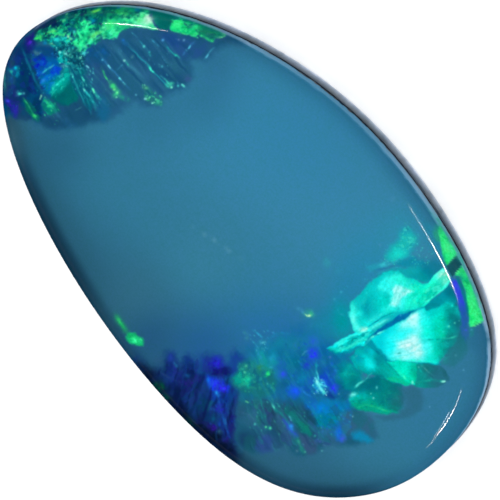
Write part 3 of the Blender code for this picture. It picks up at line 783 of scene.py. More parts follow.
# An outline that two textures share
LOBE_FIELD = [(352, 306), (372, 284), (396, 274), (430, 286), (424, 306), (380, 318), (358, 332)]
RIGHT_TEXTURES = {
    "dot_cells": ("mosaic", [(400, 231), (408, 227), (419, 236), (416, 246), (406, 250), (398, 244)],
        [(50, 200, 184), (70, 225, 200), (24, 150, 160)], {"spacing": 2.8, "share": 0.5, "keep": 0.4,
        "seed": 25, "soft": 4}),
    "lobe_rays": ("strands", LOBE_FIELD, (8, 186, 182), {"angle": 118, "width": 2.2, "length": 20,
        "share": 0.22, "seed": 26, "soft": 8}),
    "lobe_light": ("strands", LOBE_FIELD, (60, 250, 240), {"angle": 124, "width": 1.8, "length": 16,
        "share": 0.12, "seed": 27, "soft": 8}),
    "green_grain": ("mosaic", [(402, 278), (426, 286), (428, 302), (406, 308)], [(60, 255, 190),
        (4, 214, 160), (20, 240, 190)], {"spacing": 2.2, "share": 0.3, "keep": 0.6, "seed": 28, "soft": 5}),
    "low_rays": ("strands", [(376, 344), (396, 330), (448, 304), (456, 334), (444, 362), (392, 360)],
        (8, 200, 200), {"angle": -14, "width": 2.2, "length": 22, "share": 0.2, "seed": 29, "soft": 8}),
    "low_grain": ("mosaic", [(430, 306), (456, 302), (458, 334), (446, 362), (432, 360)], [(6, 200, 170),
        (4, 150, 140), (30, 230, 200)], {"spacing": 4, "stretch": 1.6, "angle": -20, "share": 0.15,
        "keep": 0.5, "seed": 30, "soft": 8}),
    "feather_grain": ("mosaic", [(330, 349), (350, 337), (370, 331), (366, 343), (340, 352)],
        [(60, 245, 230), (0, 150, 152), (20, 220, 206)], {"spacing": 2.4, "stretch": 3.4, "angle": -26,
        "share": 0.6, "keep": 0.6, "seed": 31, "soft": 2}),
    "strip_grain": ("mosaic", [(422, 290), (444, 271), (450, 281), (426, 305)], [(90, 255, 220),
        (6, 214, 180), (30, 240, 190)], {"spacing": 2.6, "stretch": 2.6, "angle": -38, "share": 0.4,
        "keep": 0.6, "seed": 32, "soft": 2}),
    "petal_threads": ("strands", [(350, 396), (384, 384), (402, 394), (398, 412), (360, 408)],
        (10, 160, 136), {"angle": 20, "width": 2.6, "length": 18, "share": 0.25, "seed": 33}),
    "petal_dark": ("strands", [(336, 366), (362, 372), (396, 384), (390, 408), (340, 400)], (2, 92, 118),
        {"angle": -30, "width": 3, "length": 16, "share": 0.25, "seed": 34}),
    "dots_dust": ("dust", [(384, 252), (388, 228), (398, 216), (410, 222), (414, 240), (440, 252),
        (444, 262), (400, 268), (380, 266)], [(50, 205, 182), (26, 180, 184), (70, 220, 190)],
        {"count": 380, "radius": 0.5, "share": 0.8, "clump": 7, "seed": 141}),
    "dots_core_dust": ("dust", [(396, 250), (398, 232), (408, 232), (414, 242), (410, 254)],
        [(70, 225, 196), (50, 210, 184), (100, 235, 205)], {"count": 60, "radius": 0.6, "share": 0.7,
        "clump": 5, "seed": 142}),
    "left_dust": ("dust", [(340, 316), (344, 284), (364, 262), (396, 256), (384, 272), (356, 298),
        (350, 318)], [(40, 160, 180), (20, 110, 150), (50, 180, 190)], {"count": 260, "radius": 0.6,
        "share": 0.5, "clump": 7, "seed": 143}),
    "lobe_dust": ("dust", [(352, 300), (372, 276), (404, 274), (424, 290), (410, 310), (372, 326)],
        [(8, 180, 180), (60, 245, 230), (6, 160, 170)], {"count": 260, "radius": 0.8, "share": 0.3,
        "clump": 8, "seed": 144, "angle": 110, "stretch": 2.0}),
    "low_dust": ("dust", [(384, 340), (420, 312), (448, 306), (444, 352), (400, 358)], [(8, 200, 200),
        (120, 255, 248), (6, 190, 180)], {"count": 240, "radius": 0.8, "share": 0.25, "clump": 8,
        "seed": 145, "angle": -20, "stretch": 1.8}),
    "green_dust": ("dust", [(414, 298), (450, 270), (454, 282), (420, 312)], [(10, 200, 170),
        (60, 250, 214), (20, 220, 170)], {"count": 130, "radius": 0.7, "share": 0.5, "clump": 5,
        "seed": 146, "angle": -38, "stretch": 1.6}),
    "petal_dust": ("dust", [(346, 352), (430, 362), (432, 382), (380, 386), (348, 376)], [(4, 120, 130),
        (10, 200, 180), (4, 140, 130)], {"count": 220, "radius": 0.8, "share": 0.4, "clump": 7, "seed": 147,
        "angle": 40, "stretch": 2.0}),
    "third_dust": ("dust", [(350, 392), (400, 392), (396, 414), (356, 406)], [(10, 150, 130), (8, 100, 116),
        (20, 180, 140)], {"count": 120, "radius": 0.7, "share": 0.4, "clump": 6, "seed": 148, "angle": 12,
        "stretch": 2.0}),
}

RIGHT_STREAKS = {
    "faint_arc": ([(378, 266), (390, 264), (402, 258)], 1.6, 1.6, (60, 160, 190), {"share": 0.5}),
    "faint_arc_low": ([(376, 274), (388, 270), (398, 268)], 1.6, 1.6, (40, 170, 186), {"share": 0.6}),
    "dark_arc_line": ([(374, 270), (386, 268), (398, 265)], 1.6, 1.4, (30, 108, 158), {"share": 0.7}),
    "thin_slit": ([(366, 329), (374, 322.5), (382, 317.5), (390, 313.8), (396, 312)], 1.2, 1.2,
        (0, 112, 140), {"rough": 0.3, "broken": 0.4, "share": 0.8}),
    "light_between": ([(369, 331), (374, 326.5), (378, 324), (385, 321), (390, 318.5)], 2.8, 1.4,
        (84, 248, 236), {"broken": 0.2, "rough": 0.4}),
    "under_slit": ([(365, 345), (371, 338), (377, 334), (386, 330)], 1.6, 1.3, (90, 250, 232),
        {"rough": 0.4}),
    "feather_top": ([(331, 346), (341, 341), (352, 336), (363, 332)], 1.8, 1.4, (60, 240, 228),
        {"broken": 0.3}),
    "feather_low": ([(335, 351.5), (346, 349), (357, 344), (366, 339)], 1.8, 1.6, (36, 232, 206),
        {"broken": 0.2}),
    "feather_dark": ([(338, 347), (348, 345), (356, 341)], 1.4, 1.4, (0, 160, 160), {}),
    "slit_light_lines": ([(356, 334), (364, 331), (372, 327)], 1.8, 1.2, (50, 240, 220), {}),
    "upper_edge_line": ([(366, 322), (376, 317), (384, 313)], 2.4, 1.6, (50, 240, 226), {"share": 0.85}),
    "dark_seam": ([(367, 345), (376, 351), (383, 357), (389, 364)], 1.8, 1.8, (4, 120, 142), {}),
    "dark_seam_low": ([(389, 364), (397, 373), (404, 379)], 1.6, 1.6, (4, 120, 124), {"share": 0.7}),
    "seam_line": ([(424, 340), (436, 339.5), (449, 339.5)], 1.4, 1.4, (2, 150, 140), {"share": 0.8}),
    "thin_line": ([(438, 338), (448, 338.2), (457, 336)], 1.6, 1.3, (46, 196, 170), {}),
    "strip_low_edge": ([(424, 305), (432, 298), (441, 291), (448, 286)], 1.6, 1.2, (60, 255, 220),
        {"share": 0.8}),
    "bright_bottom": ([(389, 358.5), (400, 360), (416, 360.5), (434, 362.5)], 1.8, 1.4, (40, 255, 220),
        {"share": 0.8}),
    "white_brow": ([(402, 324), (410, 319), (419, 313)], 2, 1.6, (206, 255, 255), {"share": 0.8}),
    "lobe_scratch": ([(396, 354), (402, 352.5)], 1.8, 1.4, (50, 186, 176), {}),
    "triangle_line": ([(396, 369), (402, 375), (408, 380)], 2.4, 1.6, (50, 255, 196), {}),
    "triangle_edge": ([(387, 361), (393, 368), (400, 376)], 1.4, 1.2, (10, 220, 180), {"share": 0.7}),
    "green_thread": ([(414, 383), (424, 381), (434, 380.3), (443, 381)], 2, 1.4, (22, 158, 144),
        {"ends": (0.05, 0.0)}),
    "tip_dash": ([(441, 381.4), (443, 381.4), (446.5, 381.1)], 1.7, 1.2, (150, 250, 232), {"rough": 0.2}),
    "tip_hair": ([(420, 364), (428, 371), (435, 377)], 1.3, 1.2, (60, 154, 156), {"share": 0.8}),
    "bright_edge": ([(354, 388), (360, 383.5), (365, 380)], 2.2, 1.6, (66, 216, 204), {"broken": 0.2}),
    "bright_edge_thin": ([(365, 380), (369, 375), (373, 372)], 1.3, 1.3, (50, 176, 176), {}),
    "low_edge_light": ([(354, 408), (366, 405), (378, 408), (392, 412)], 1.6, 1.6, (40, 206, 142),
        {"share": 0.8}),
    "pale_left": ([(353, 359), (358, 355)], 1.5, 1.4, (44, 172, 184), {}),
    "pale_left_low": ([(357, 364), (362, 374), (366, 382)], 1.6, 1.6, (20, 150, 150), {"share": 0.7}),
    "left_teal_edge": ([(342, 374), (352, 374), (360, 376)], 2, 1.8, (20, 164, 150), {"share": 0.7}),
}

RIGHT_SPOTS = {
    "dots_tail": ((383, 264), 2.4, (50, 186, 200), {"stretch": 1.6, "angle": -20}),
    "white_knot": ((363, 329.8), 2.7, (222, 255, 242), {"stretch": 1.3}),
    "knot_tail": ((353.5, 320), 2.2, (100, 252, 236), {"stretch": 1.5, "angle": 70}),
    "bright_point": ((353.5, 394), 2.3, (110, 250, 236), {"stretch": 1.3, "angle": -20}),
    "triangle_tip": ((412.5, 382.5), 1.1, (110, 245, 215), {"stretch": 1.7, "angle": 85, "rough": 0.2,
        "broken": 0.2}),
}
RIGHT_SPARKS = {
    "slit_spark": ((400.5, 315.5), 1.08, (50, 160, 196), {}),
    "corner_spark": ((452, 305.5), 1.1, (24, 234, 212), {}),
    "green_spark": ((449, 326.4), 0.95, (70, 235, 190), {}),
    "grey_spark": ((454.5, 323), 0.94, (60, 190, 170), {}),
    "grey_spark_up": ((456.5, 309), 0.72, (60, 170, 170), {}),
    "grey_spark_far": ((459, 321), 0.72, (60, 170, 170), {}),
    "grey_spark_low": ((456, 355.5), 1.01, (74, 150, 170), {"share": 0.7}),
    "right_spark": ((463.5, 370), 0.94, (84, 160, 190), {"share": 0.8}),
    "tip_speck": ((419, 367), 0.8, (80, 190, 175), {}),
    "petal_speck": ((376.5, 387.5), 1.08, (64, 184, 186), {"stretch": 1.5, "angle": 90}),
    "petal_speck_left": ((371, 393.5), 0.94, (60, 190, 180), {}),
    "petal_speck_low": ((373.5, 398), 1.08, (96, 204, 200), {}),
    "triangle_root": ((366, 329), 1.44, (180, 255, 232), {}),
}

# The green flashes and the blue strip along the right rim
RIM_PATCHES = {
    "blue_body": ([(425, 222), (436, 226), (446, 262), (440, 262), (432, 250), (424, 236)], 8,
        (40, 136, 168), {"share": 0.8}),
    "green_haze": ([(432, 232), (437, 226), (441, 228), (442, 242), (437, 242)], 5, (40, 156, 140), {}),
    "upper_green": ([(438, 231), (440, 226), (444, 231), (449, 239), (454, 248), (457, 254), (452, 259),
        (447, 265), (443, 257), (441, 247), (440, 239)], 2, (40, 226, 138), {"other": (56, 244, 144),
        "size": 4, "mottle": 0.5, "rough": 0.2, "grain": 0.5,
        "glows": [(446, 247, 4, (70, 252, 150), 2, 65), (452, 250, 3, (62, 250, 158)),
        (441, 232, 4, (54, 210, 140)), (444, 257, 4, (30, 206, 134))]}),
    "gap": ([(457, 255), (462, 265), (456, 272), (452, 277), (446, 266)], 1.2, (28, 90, 104),
        {"other": (24, 86, 98), "size": 4, "rough": 0.2, "grain": 0.5}),
    "teal_between": ([(455, 276), (461, 282), (466, 292), (469, 308), (470, 326), (466, 312), (461, 294),
        (456, 284)], 3, (12, 124, 136), {}),
    "lower_green": ([(462, 266), (466, 273), (471, 284), (476, 297), (481, 312), (484, 321), (477, 324),
        (470, 327), (469, 318), (468, 305), (466, 293), (462, 282), (459, 276), (455, 276), (458, 271)],
        1.6, (38, 222, 130), {"other": (56, 246, 144), "size": 4, "mottle": 0.5, "rough": 0.2, "grain": 0.5,
        "glows": [(474, 302, 4, (62, 250, 152), 2.2, 72), (478, 314, 4, (50, 250, 134)),
        (472, 318, 3, (28, 222, 118)), (461, 274, 4, (46, 226, 146), 1.4, 60),
        (466, 281, 4, (16, 186, 130)), (467, 292, 3, (12, 150, 128), 2, 75),
        (470, 296, 3, (50, 240, 156), 2, 72), (460, 279, 3.4, (18, 150, 150))]}),
    "blue_strip": ([(451, 278), (456, 280), (461, 290), (465, 303), (467, 318), (470, 334), (464, 334),
        (461, 316), (458, 302), (454, 290)], 3.5, (52, 74, 224), {"other": (48, 80, 214), "size": 6,
        "rough": 0.2, "grain": 0.5, "glows": [(455, 285, 4, (60, 74, 234), 1.6, 60),
        (460, 298, 4, (50, 74, 216), 1.8, 70), (464, 314, 5, (32, 92, 170), 1.8, 78),
        (453, 279, 3, (40, 96, 186))]}),
    "strip_foot": ([(462, 316), (468, 316), (471, 336), (466, 342), (461, 334)], 6, (34, 98, 164),
        {"other": (46, 100, 164), "size": 5}),
    "low_blue": ([(468, 328), (482, 326), (490, 340), (480, 352), (468, 346)], 12, (44, 112, 148), {}),
    "green_tint": ([(469, 327), (474, 327), (473, 336), (469, 338)], 4, (36, 132, 140), {"share": 0.7}),
}

RIM_TEXTURES = {
    "upper_grain": ("mosaic", [(440, 230), (454, 250), (448, 262), (442, 246)], [(24, 196, 120),
        (66, 250, 150), (34, 228, 134)], {"spacing": 2.4, "share": 0.5, "keep": 0.7, "seed": 35,
        "soft": 2}),
    "lower_grain": ("mosaic", [(462, 270), (470, 284), (482, 318), (471, 325), (468, 296)], [(24, 200, 116),
        (66, 250, 150), (40, 232, 132)], {"spacing": 2.4, "share": 0.5, "keep": 0.7, "seed": 36,
        "soft": 2}),
}

RIM_STREAKS = {
    "teal_edge": ([(428, 206), (434, 214), (440, 223), (447, 235), (456, 252), (463, 264)], 3, 2.4,
        (66, 184, 172), {"ends": (0.3, 0.1), "share": 0.85}),
    "teal_edge_low": ([(463, 264), (470, 277), (477, 293), (482, 308), (486, 321)], 2, 2, (58, 160, 160),
        {"share": 0.6}),
    "gap_edge": ([(446, 266), (452, 260), (458, 254)], 1.1, 1.2, (90, 250, 160), {"share": 0.7}),
    "gap_edge_low": ([(454, 275), (458, 271), (462, 267)], 1.4, 1.2, (90, 255, 150), {"share": 0.7}),
    "bottom_edge": ([(470, 326.5), (477, 324), (484, 320)], 1.6, 1.2, (96, 246, 140), {"share": 0.8}),
    "shoulder_line": ([(430, 211), (438, 222), (446, 233), (452, 242), (457, 250), (462, 261), (467, 273),
        (473, 287), (477, 300), (480, 315)], 1.8, 1.4, (66, 180, 170), {"rough": 0.15, "broken": 0.2,
        "ends": (0.3, 0.2)}),
}

RIM_SPOTS = {
    "yellow_light": ((448, 246), 4, (84, 253, 165), {"share": 0.5}),
    "yellow_low": ((474, 300), 5, (70, 252, 160), {"stretch": 1.6, "angle": 70, "share": 0.5}),
    "yellow_foot": ((471, 323), 2.6, (46, 232, 130), {"share": 0.7}),
    "shade": ((446, 262), 2.4, (30, 170, 90), {"share": 0.7}),
}
RIM_SPARKS = {
    "point": ((471.5, 329.7), 0.86, (70, 160, 200), {}),
    "point_left": ((466, 330), 1.08, (60, 90, 220), {}),
}

# The fan at the upper left: dark blue and teal grounds first, then the green flashes
UPPER_PATCHES = {
    "fan": ([(1, 122), (2, 80), (8, 52), (30, 24), (60, 6), (100, -4), (170, 0), (218, 20), (246, 44),
        (228, 44), (218, 49), (206, 60), (191, 58), (192, 75), (186, 87), (174, 92), (162, 98), (158, 107),
        (146, 106), (136, 101), (120, 112), (106, 122), (90, 122), (70, 130), (54, 129), (38, 124),
        (22, 117), (8, 116)], 12, (28, 86, 124), {"other": (36, 92, 130), "size": 16, "seed": 41,
        "grain": 2}),
    "left_dark": ([(2, 116), (3, 88), (8, 58), (22, 40), (34, 44), (31, 60), (35, 76), (44, 96), (42, 122),
        (24, 117), (8, 114)], 8, (8, 56, 98), {"other": (7, 74, 118), "size": 9, "seed": 42}),
    "left_navy": ([(14, 50), (24, 42), (32, 48), (28, 62), (18, 62), (10, 62)], 6, (13, 52, 106),
        {"other": (14, 56, 110), "size": 7}),
    "violet_shore": ([(5, 88), (12, 84), (20, 94), (22, 110), (14, 116), (8, 106)], 7, (26, 50, 118), {}),
    "violet_patch": ([(6, 99), (13, 98), (18, 103), (22, 112), (16, 117), (10, 110)], 6, (40, 38, 156),
        {"mottle": 0.3}),
    "slate_low": ([(40, 118), (48, 116), (60, 118), (66, 126), (56, 130), (42, 126)], 9, (26, 76, 110), {}),
    "dark_low": ([(64, 102), (80, 98), (92, 108), (98, 118), (84, 124), (68, 122)], 9, (26, 79, 112), {}),
    "top_shade": ([(30, 26), (52, 10), (76, 4), (100, -2), (140, 0), (140, 16), (110, 14), (84, 18),
        (66, 24), (50, 30), (36, 34)], 5, (8, 52, 82), {"other": (10, 42, 88), "size": 8, "seed": 43}),
    "top_green_shade": ([(60, 17), (66, 13), (74, 12), (84, 13), (84, 22), (76, 29), (64, 30), (60, 25)], 5,
        (6, 112, 104), {"other": (6, 84, 92), "size": 5, "seed": 44, "glows": [(76, 14, 3, (15, 62, 80)),
        (70, 20, 4, (16, 152, 126)), (76, 20, 3, (36, 120, 96)), (75, 27, 4, (29, 143, 134))]}),
    "top_teal": ([(84, 14), (100, 5), (128, 4), (150, 8), (150, 14), (138, 18), (120, 18), (104, 22),
        (90, 22)], 4, (7, 118, 102), {"other": (9, 134, 106), "size": 6, "mottle": 0.3}),
    "violet_under_rim": ([(24, 38), (34, 32), (36, 44), (34, 56), (28, 50)], 5, (26, 38, 122), {}),
    "left_rim_haze": ([(3, 50), (12, 44), (15, 60), (16, 80), (12, 90), (3, 92)], 6, (30, 74, 108),
        {"share": 0.8}),
    "slate_low_left": ([(19, 104), (28, 108), (31, 120), (24, 122), (16, 118)], 5, (26, 68, 104),
        {"share": 0.8}),
    "slate_between_rays": ([(88, 78), (98, 82), (106, 94), (114, 106), (102, 110), (92, 96)], 9,
        (26, 86, 114), {"share": 0.95}),
    "green_cloud_up": ([(60, 24), (64, 19), (70, 18), (76, 21), (78, 26), (72, 29), (66, 28), (61, 28)], 4,
        (6, 138, 122), {"mottle": 0.5, "size": 4, "share": 0.8, "rough": 1.5}),
    "blue_field": ([(32, 58), (42, 54), (54, 54), (60, 62), (60, 74), (54, 84), (50, 96), (44, 92),
        (38, 78)], 6, (8, 92, 160), {"other": (7, 98, 150), "size": 7}),
    "slate_field": ([(32, 46), (48, 46), (58, 48), (58, 56), (44, 58), (32, 58)], 7, (15, 74, 126), {}),
    "royal": ([(33, 60), (38, 56), (45, 57), (48, 61), (46, 67), (41, 73), (35, 72)], 4.5, (14, 46, 178),
        {}),
    "royal_low": ([(35, 68), (42, 68), (44, 74), (38, 77)], 4, (12, 74, 186), {}),
    "royal_right": ([(50, 70), (55, 65), (60, 68), (59, 73), (52, 75)], 3.5, (12, 70, 222), {}),
    "azure": ([(41, 83), (41, 79), (46, 74), (54, 74), (51, 79), (46, 83)], 2.5, (6, 104, 190), {}),
    "azure_low": ([(42, 84), (49, 80), (57, 75), (60, 76), (54, 84), (50, 94), (45, 92)], 3, (4, 106, 142),
        {"other": (4, 124, 152), "size": 5}),
    "bowl": ([(53, 84), (62, 76), (68, 70), (71, 80), (79, 92), (77, 101), (68, 106), (60, 106), (53, 101),
        (50, 96)], 5, (4, 106, 106), {"other": (3, 112, 108), "size": 10,
        "glows": [(58, 84, 5, (8, 160, 148)), (64, 80, 5, (8, 176, 170), 1.4, -50),
        (62, 96, 6, (6, 96, 104)), (70, 88, 6, (3, 100, 106))]}),
    "bowl_light": ([(55, 84), (61, 79), (66, 78), (66, 86), (60, 94), (53, 94)], 5, (5, 148, 138),
        {"share": 0.8}),
    "mosaic": ([(58, 38), (70, 36), (80, 48), (84, 60), (78, 68), (68, 66), (62, 58), (56, 50)], 3,
        (16, 104, 116), {"other": (20, 116, 122), "size": 4, "mottle": 0.5, "seed": 45}),
    "mosaic_low": ([(68, 60), (82, 60), (92, 78), (96, 98), (90, 110), (78, 96), (70, 80)], 5,
        (12, 98, 118), {"other": (14, 88, 118), "size": 6}),
    "blue_under_green": ([(80, 48), (94, 46), (106, 44), (110, 54), (104, 64), (90, 66), (82, 58)], 8,
        (22, 88, 146), {"mottle": 0.2, "other": (22, 84, 126)}),
    "blue_gully": ([(84, 64), (96, 66), (104, 80), (106, 94), (96, 96), (88, 82)], 8, (30, 84, 130),
        {"other": (34, 96, 130), "size": 8}),
    "violet_ridge": ([(90, 58), (98, 62), (110, 78), (114, 92), (108, 92), (98, 76)], 8, (38, 84, 130),
        {"share": 0.7}),
    "teal_gully": ([(98, 94), (106, 98), (110, 112), (104, 122), (98, 116), (96, 104)], 8, (24, 98, 138),
        {}),
    "slate_right": ([(118, 68), (136, 74), (152, 86), (146, 98), (132, 98), (120, 84)], 9, (33, 95, 127),
        {"share": 0.8}),
    "slate_far": ([(160, 58), (178, 60), (190, 66), (190, 80), (180, 84), (168, 76), (158, 66)], 8,
        (34, 92, 127), {}),
    "teal_far": ([(166, 62), (178, 62), (180, 74), (170, 74)], 6, (38, 100, 130), {}),
    "violet_panel": ([(160, 34), (184, 38), (206, 42), (208, 54), (196, 58), (182, 58), (168, 50)], 8,
        (33, 86, 132), {"other": (36, 84, 138), "size": 9}),
    "blue_panel": ([(164, 32), (176, 35), (182, 44), (172, 46), (164, 40)], 7, (30, 78, 138), {}),
    "green_field_left": ([(144, 86), (149, 87), (154, 93), (161, 99), (161, 105), (155, 106), (149, 102),
        (144, 97)], 4, (30, 124, 122), {"mottle": 0.4, "size": 4, "share": 0.7}),
    "teal_left": ([(8, 69), (14, 66), (18, 66), (20, 72), (18, 78), (12, 75)], 3, (12, 122, 152),
        {"mottle": 0.3}),
    "stem_shade": ([(22, 97), (28, 100), (34, 107), (40, 118), (39, 122), (33, 120), (26, 109)], 3.5,
        (10, 112, 92), {"share": 0.85}),
    "green_leaf": ([(43, 97), (48, 98), (53, 103), (58, 108), (60, 111), (56, 114), (49, 114), (43, 110),
        (42, 104)], 3, (12, 124, 116), {"other": (16, 142, 122), "size": 5, "mottle": 0.4}),
    "teal_upper": ([(50, 38), (56, 37), (66, 37), (68, 42), (62, 47), (56, 48), (50, 45)], 3,
        (10, 168, 160), {"mottle": 0.4, "size": 4}),
    "green_band": ([(34, 36), (37, 32), (41, 30.5), (46, 31), (50, 29), (56, 27), (62, 26), (66, 28),
        (66, 33), (60, 34), (54, 33), (50, 35), (47, 38), (42, 39), (38, 40), (35, 39)], 3, (14, 150, 118),
        {"other": (30, 200, 136), "size": 4, "mottle": 0.5, "rough": 1.6, "grain": 1.2,
        "glows": [(38, 37.5, 2.2, (70, 232, 110), 1.6, -10), (60, 30, 3.5, (30, 214, 150), 1.4, -10),
        (54, 31, 2.5, (40, 216, 130), 1.5, -15), (43, 34, 1.8, (8, 110, 104)),
        (47, 36.5, 1.6, (10, 90, 100)), (48, 33, 2, (80, 226, 130), 1.8, -30), (56, 29, 3, (20, 190, 128)),
        (52, 34, 2.5, (16, 160, 128)), (46.5, 31.5, 2.2, (58, 186, 124)), (53, 27.5, 2.5, (14, 114, 108)),
        (64, 32, 3, (18, 190, 146))]}),
    "cyan_horn": ([(57, 58), (58, 52), (61, 51), (63, 56), (68, 60), (72, 64), (66, 65), (60, 63)], 2,
        (8, 182, 178), {"mottle": 0.3, "size": 4}),
    "emerald": ([(79, 22), (83, 20.5), (87, 23), (89, 25), (94, 26), (95, 28.5), (91, 30), (90, 32),
        (94, 32), (99, 30), (104, 30), (102, 33.5), (97, 37), (97, 40), (94, 43), (89, 45), (86, 44),
        (83, 44), (81, 47), (81, 51), (80.5, 55), (78, 51), (74, 46), (72.5, 42), (75, 40), (78, 41),
        (78, 38), (76.5, 35), (77, 33), (79, 32), (78.5, 28)], 2, (26, 228, 146), {"other": (40, 240, 158),
        "size": 5, "mottle": 0.3, "rough": 1.5, "grain": 1.4, "glows": [(85, 29, 5, (20, 238, 140)),
        (82, 37, 4.5, (22, 235, 146)), (96, 34, 3.5, (104, 232, 130), 2.2, -35),
        (92, 36, 3, (110, 246, 170), 1.8, -35), (91, 42, 3.5, (60, 240, 182), 1.5, -20),
        (78, 46, 3.5, (54, 238, 156), 1.7, 55), (93, 27.5, 2.5, (40, 216, 140)),
        (86, 34, 3, (12, 200, 128)), (85, 41, 2.5, (20, 200, 130))]}),
    "pocket": ([(91, 30), (94, 29.5), (97, 27), (99, 23), (104, 25), (105, 29), (100, 30.5), (96, 31.5),
        (92, 32.5)], 3, (14, 92, 96), {"other": (10, 104, 104), "size": 3}),
    "lawn": ([(104, 23), (110, 18), (120, 17), (130, 18), (136, 15), (142, 12), (142, 26), (130, 25),
        (124, 28), (120, 32), (116, 37), (109, 39), (103, 37), (102, 34), (106, 30), (106, 26)], 2.5,
        (34, 220, 152), {"other": (44, 234, 162), "size": 6, "mottle": 0.3, "rough": 1.5, "grain": 1.4,
        "glows": [(110, 24, 5, (54, 226, 132), 1.3, 0), (124, 22, 6, (112, 242, 188), 1.6, 0),
        (118, 26, 4, (14, 212, 136)), (110, 34, 4, (42, 230, 164)), (130, 20, 4, (24, 224, 142)),
        (136, 22, 5, (88, 236, 172)), (108, 37, 3, (22, 200, 158)), (106, 28, 3, (44, 200, 118))]}),
    "lawn_low": ([(102, 33), (108, 30), (114, 34), (110, 39), (104, 38)], 2.5, (40, 228, 172),
        {"mottle": 0.3}),
    "triangle": ([(130, 25), (134, 20), (139, 14), (144, 10), (149, 9.6), (148.6, 14), (151, 20),
        (154.5, 25), (158.5, 29.5), (146, 27.5)], 1.4, (100, 248, 186), {"other": (60, 236, 160), "size": 5,
        "mottle": 0.15, "grain": 0.5, "glows": [(148, 20, 5.5, (200, 255, 228), 1.3, 40),
        (144, 18, 5, (140, 252, 200)), (152, 26, 4, (46, 208, 146)), (140, 27, 5, (74, 196, 170), 1.6, 5),
        (146, 12, 4, (50, 240, 164)), (139, 22, 4, (120, 248, 192), 1.4, 20)], "share": 0.98}),
    "green_shade": ([(151, 9), (166, 10), (178, 13), (172, 22), (169, 29), (160, 29), (154, 20)], 1.6,
        (8, 106, 104), {"other": (8, 116, 108), "size": 8}),
    "quad_shade": ([(172, 20), (178, 13), (190, 16), (202, 20), (200, 27), (188, 27), (180, 19)], 3,
        (12, 122, 114), {"other": (14, 132, 118), "size": 5}),
    "quad": ([(170, 29), (172, 22), (176, 19), (181, 20), (185, 25), (192, 28.5), (198, 24), (200, 27),
        (196, 31), (199, 34), (196, 37), (186, 34), (178, 32), (171, 31)], 1.6, (24, 206, 132),
        {"other": (22, 196, 130), "size": 5, "mottle": 0.2, "grain": 0.6,
        "glows": [(177, 25, 4.5, (52, 250, 150), 1.4, 20), (180, 31, 4, (24, 218, 137), 1.5, 10),
        (186, 28, 5, (8, 150, 108)), (194, 31, 4, (28, 196, 130)), (195, 35, 3, (42, 198, 130)),
        (190, 24, 4, (8, 130, 106))]}),
    "panel": ([(197, 24), (208, 25), (218, 29), (227, 35), (218, 38), (211, 41.5), (204, 38), (198, 34)],
        1.6, (20, 134, 114), {"other": (24, 140, 118), "size": 4, "mottle": 0.3,
        "glows": [(200, 28, 4, (12, 140, 108)), (210, 34, 5, (24, 112, 110)),
        (205, 31, 4, (18, 126, 106))]}),
}

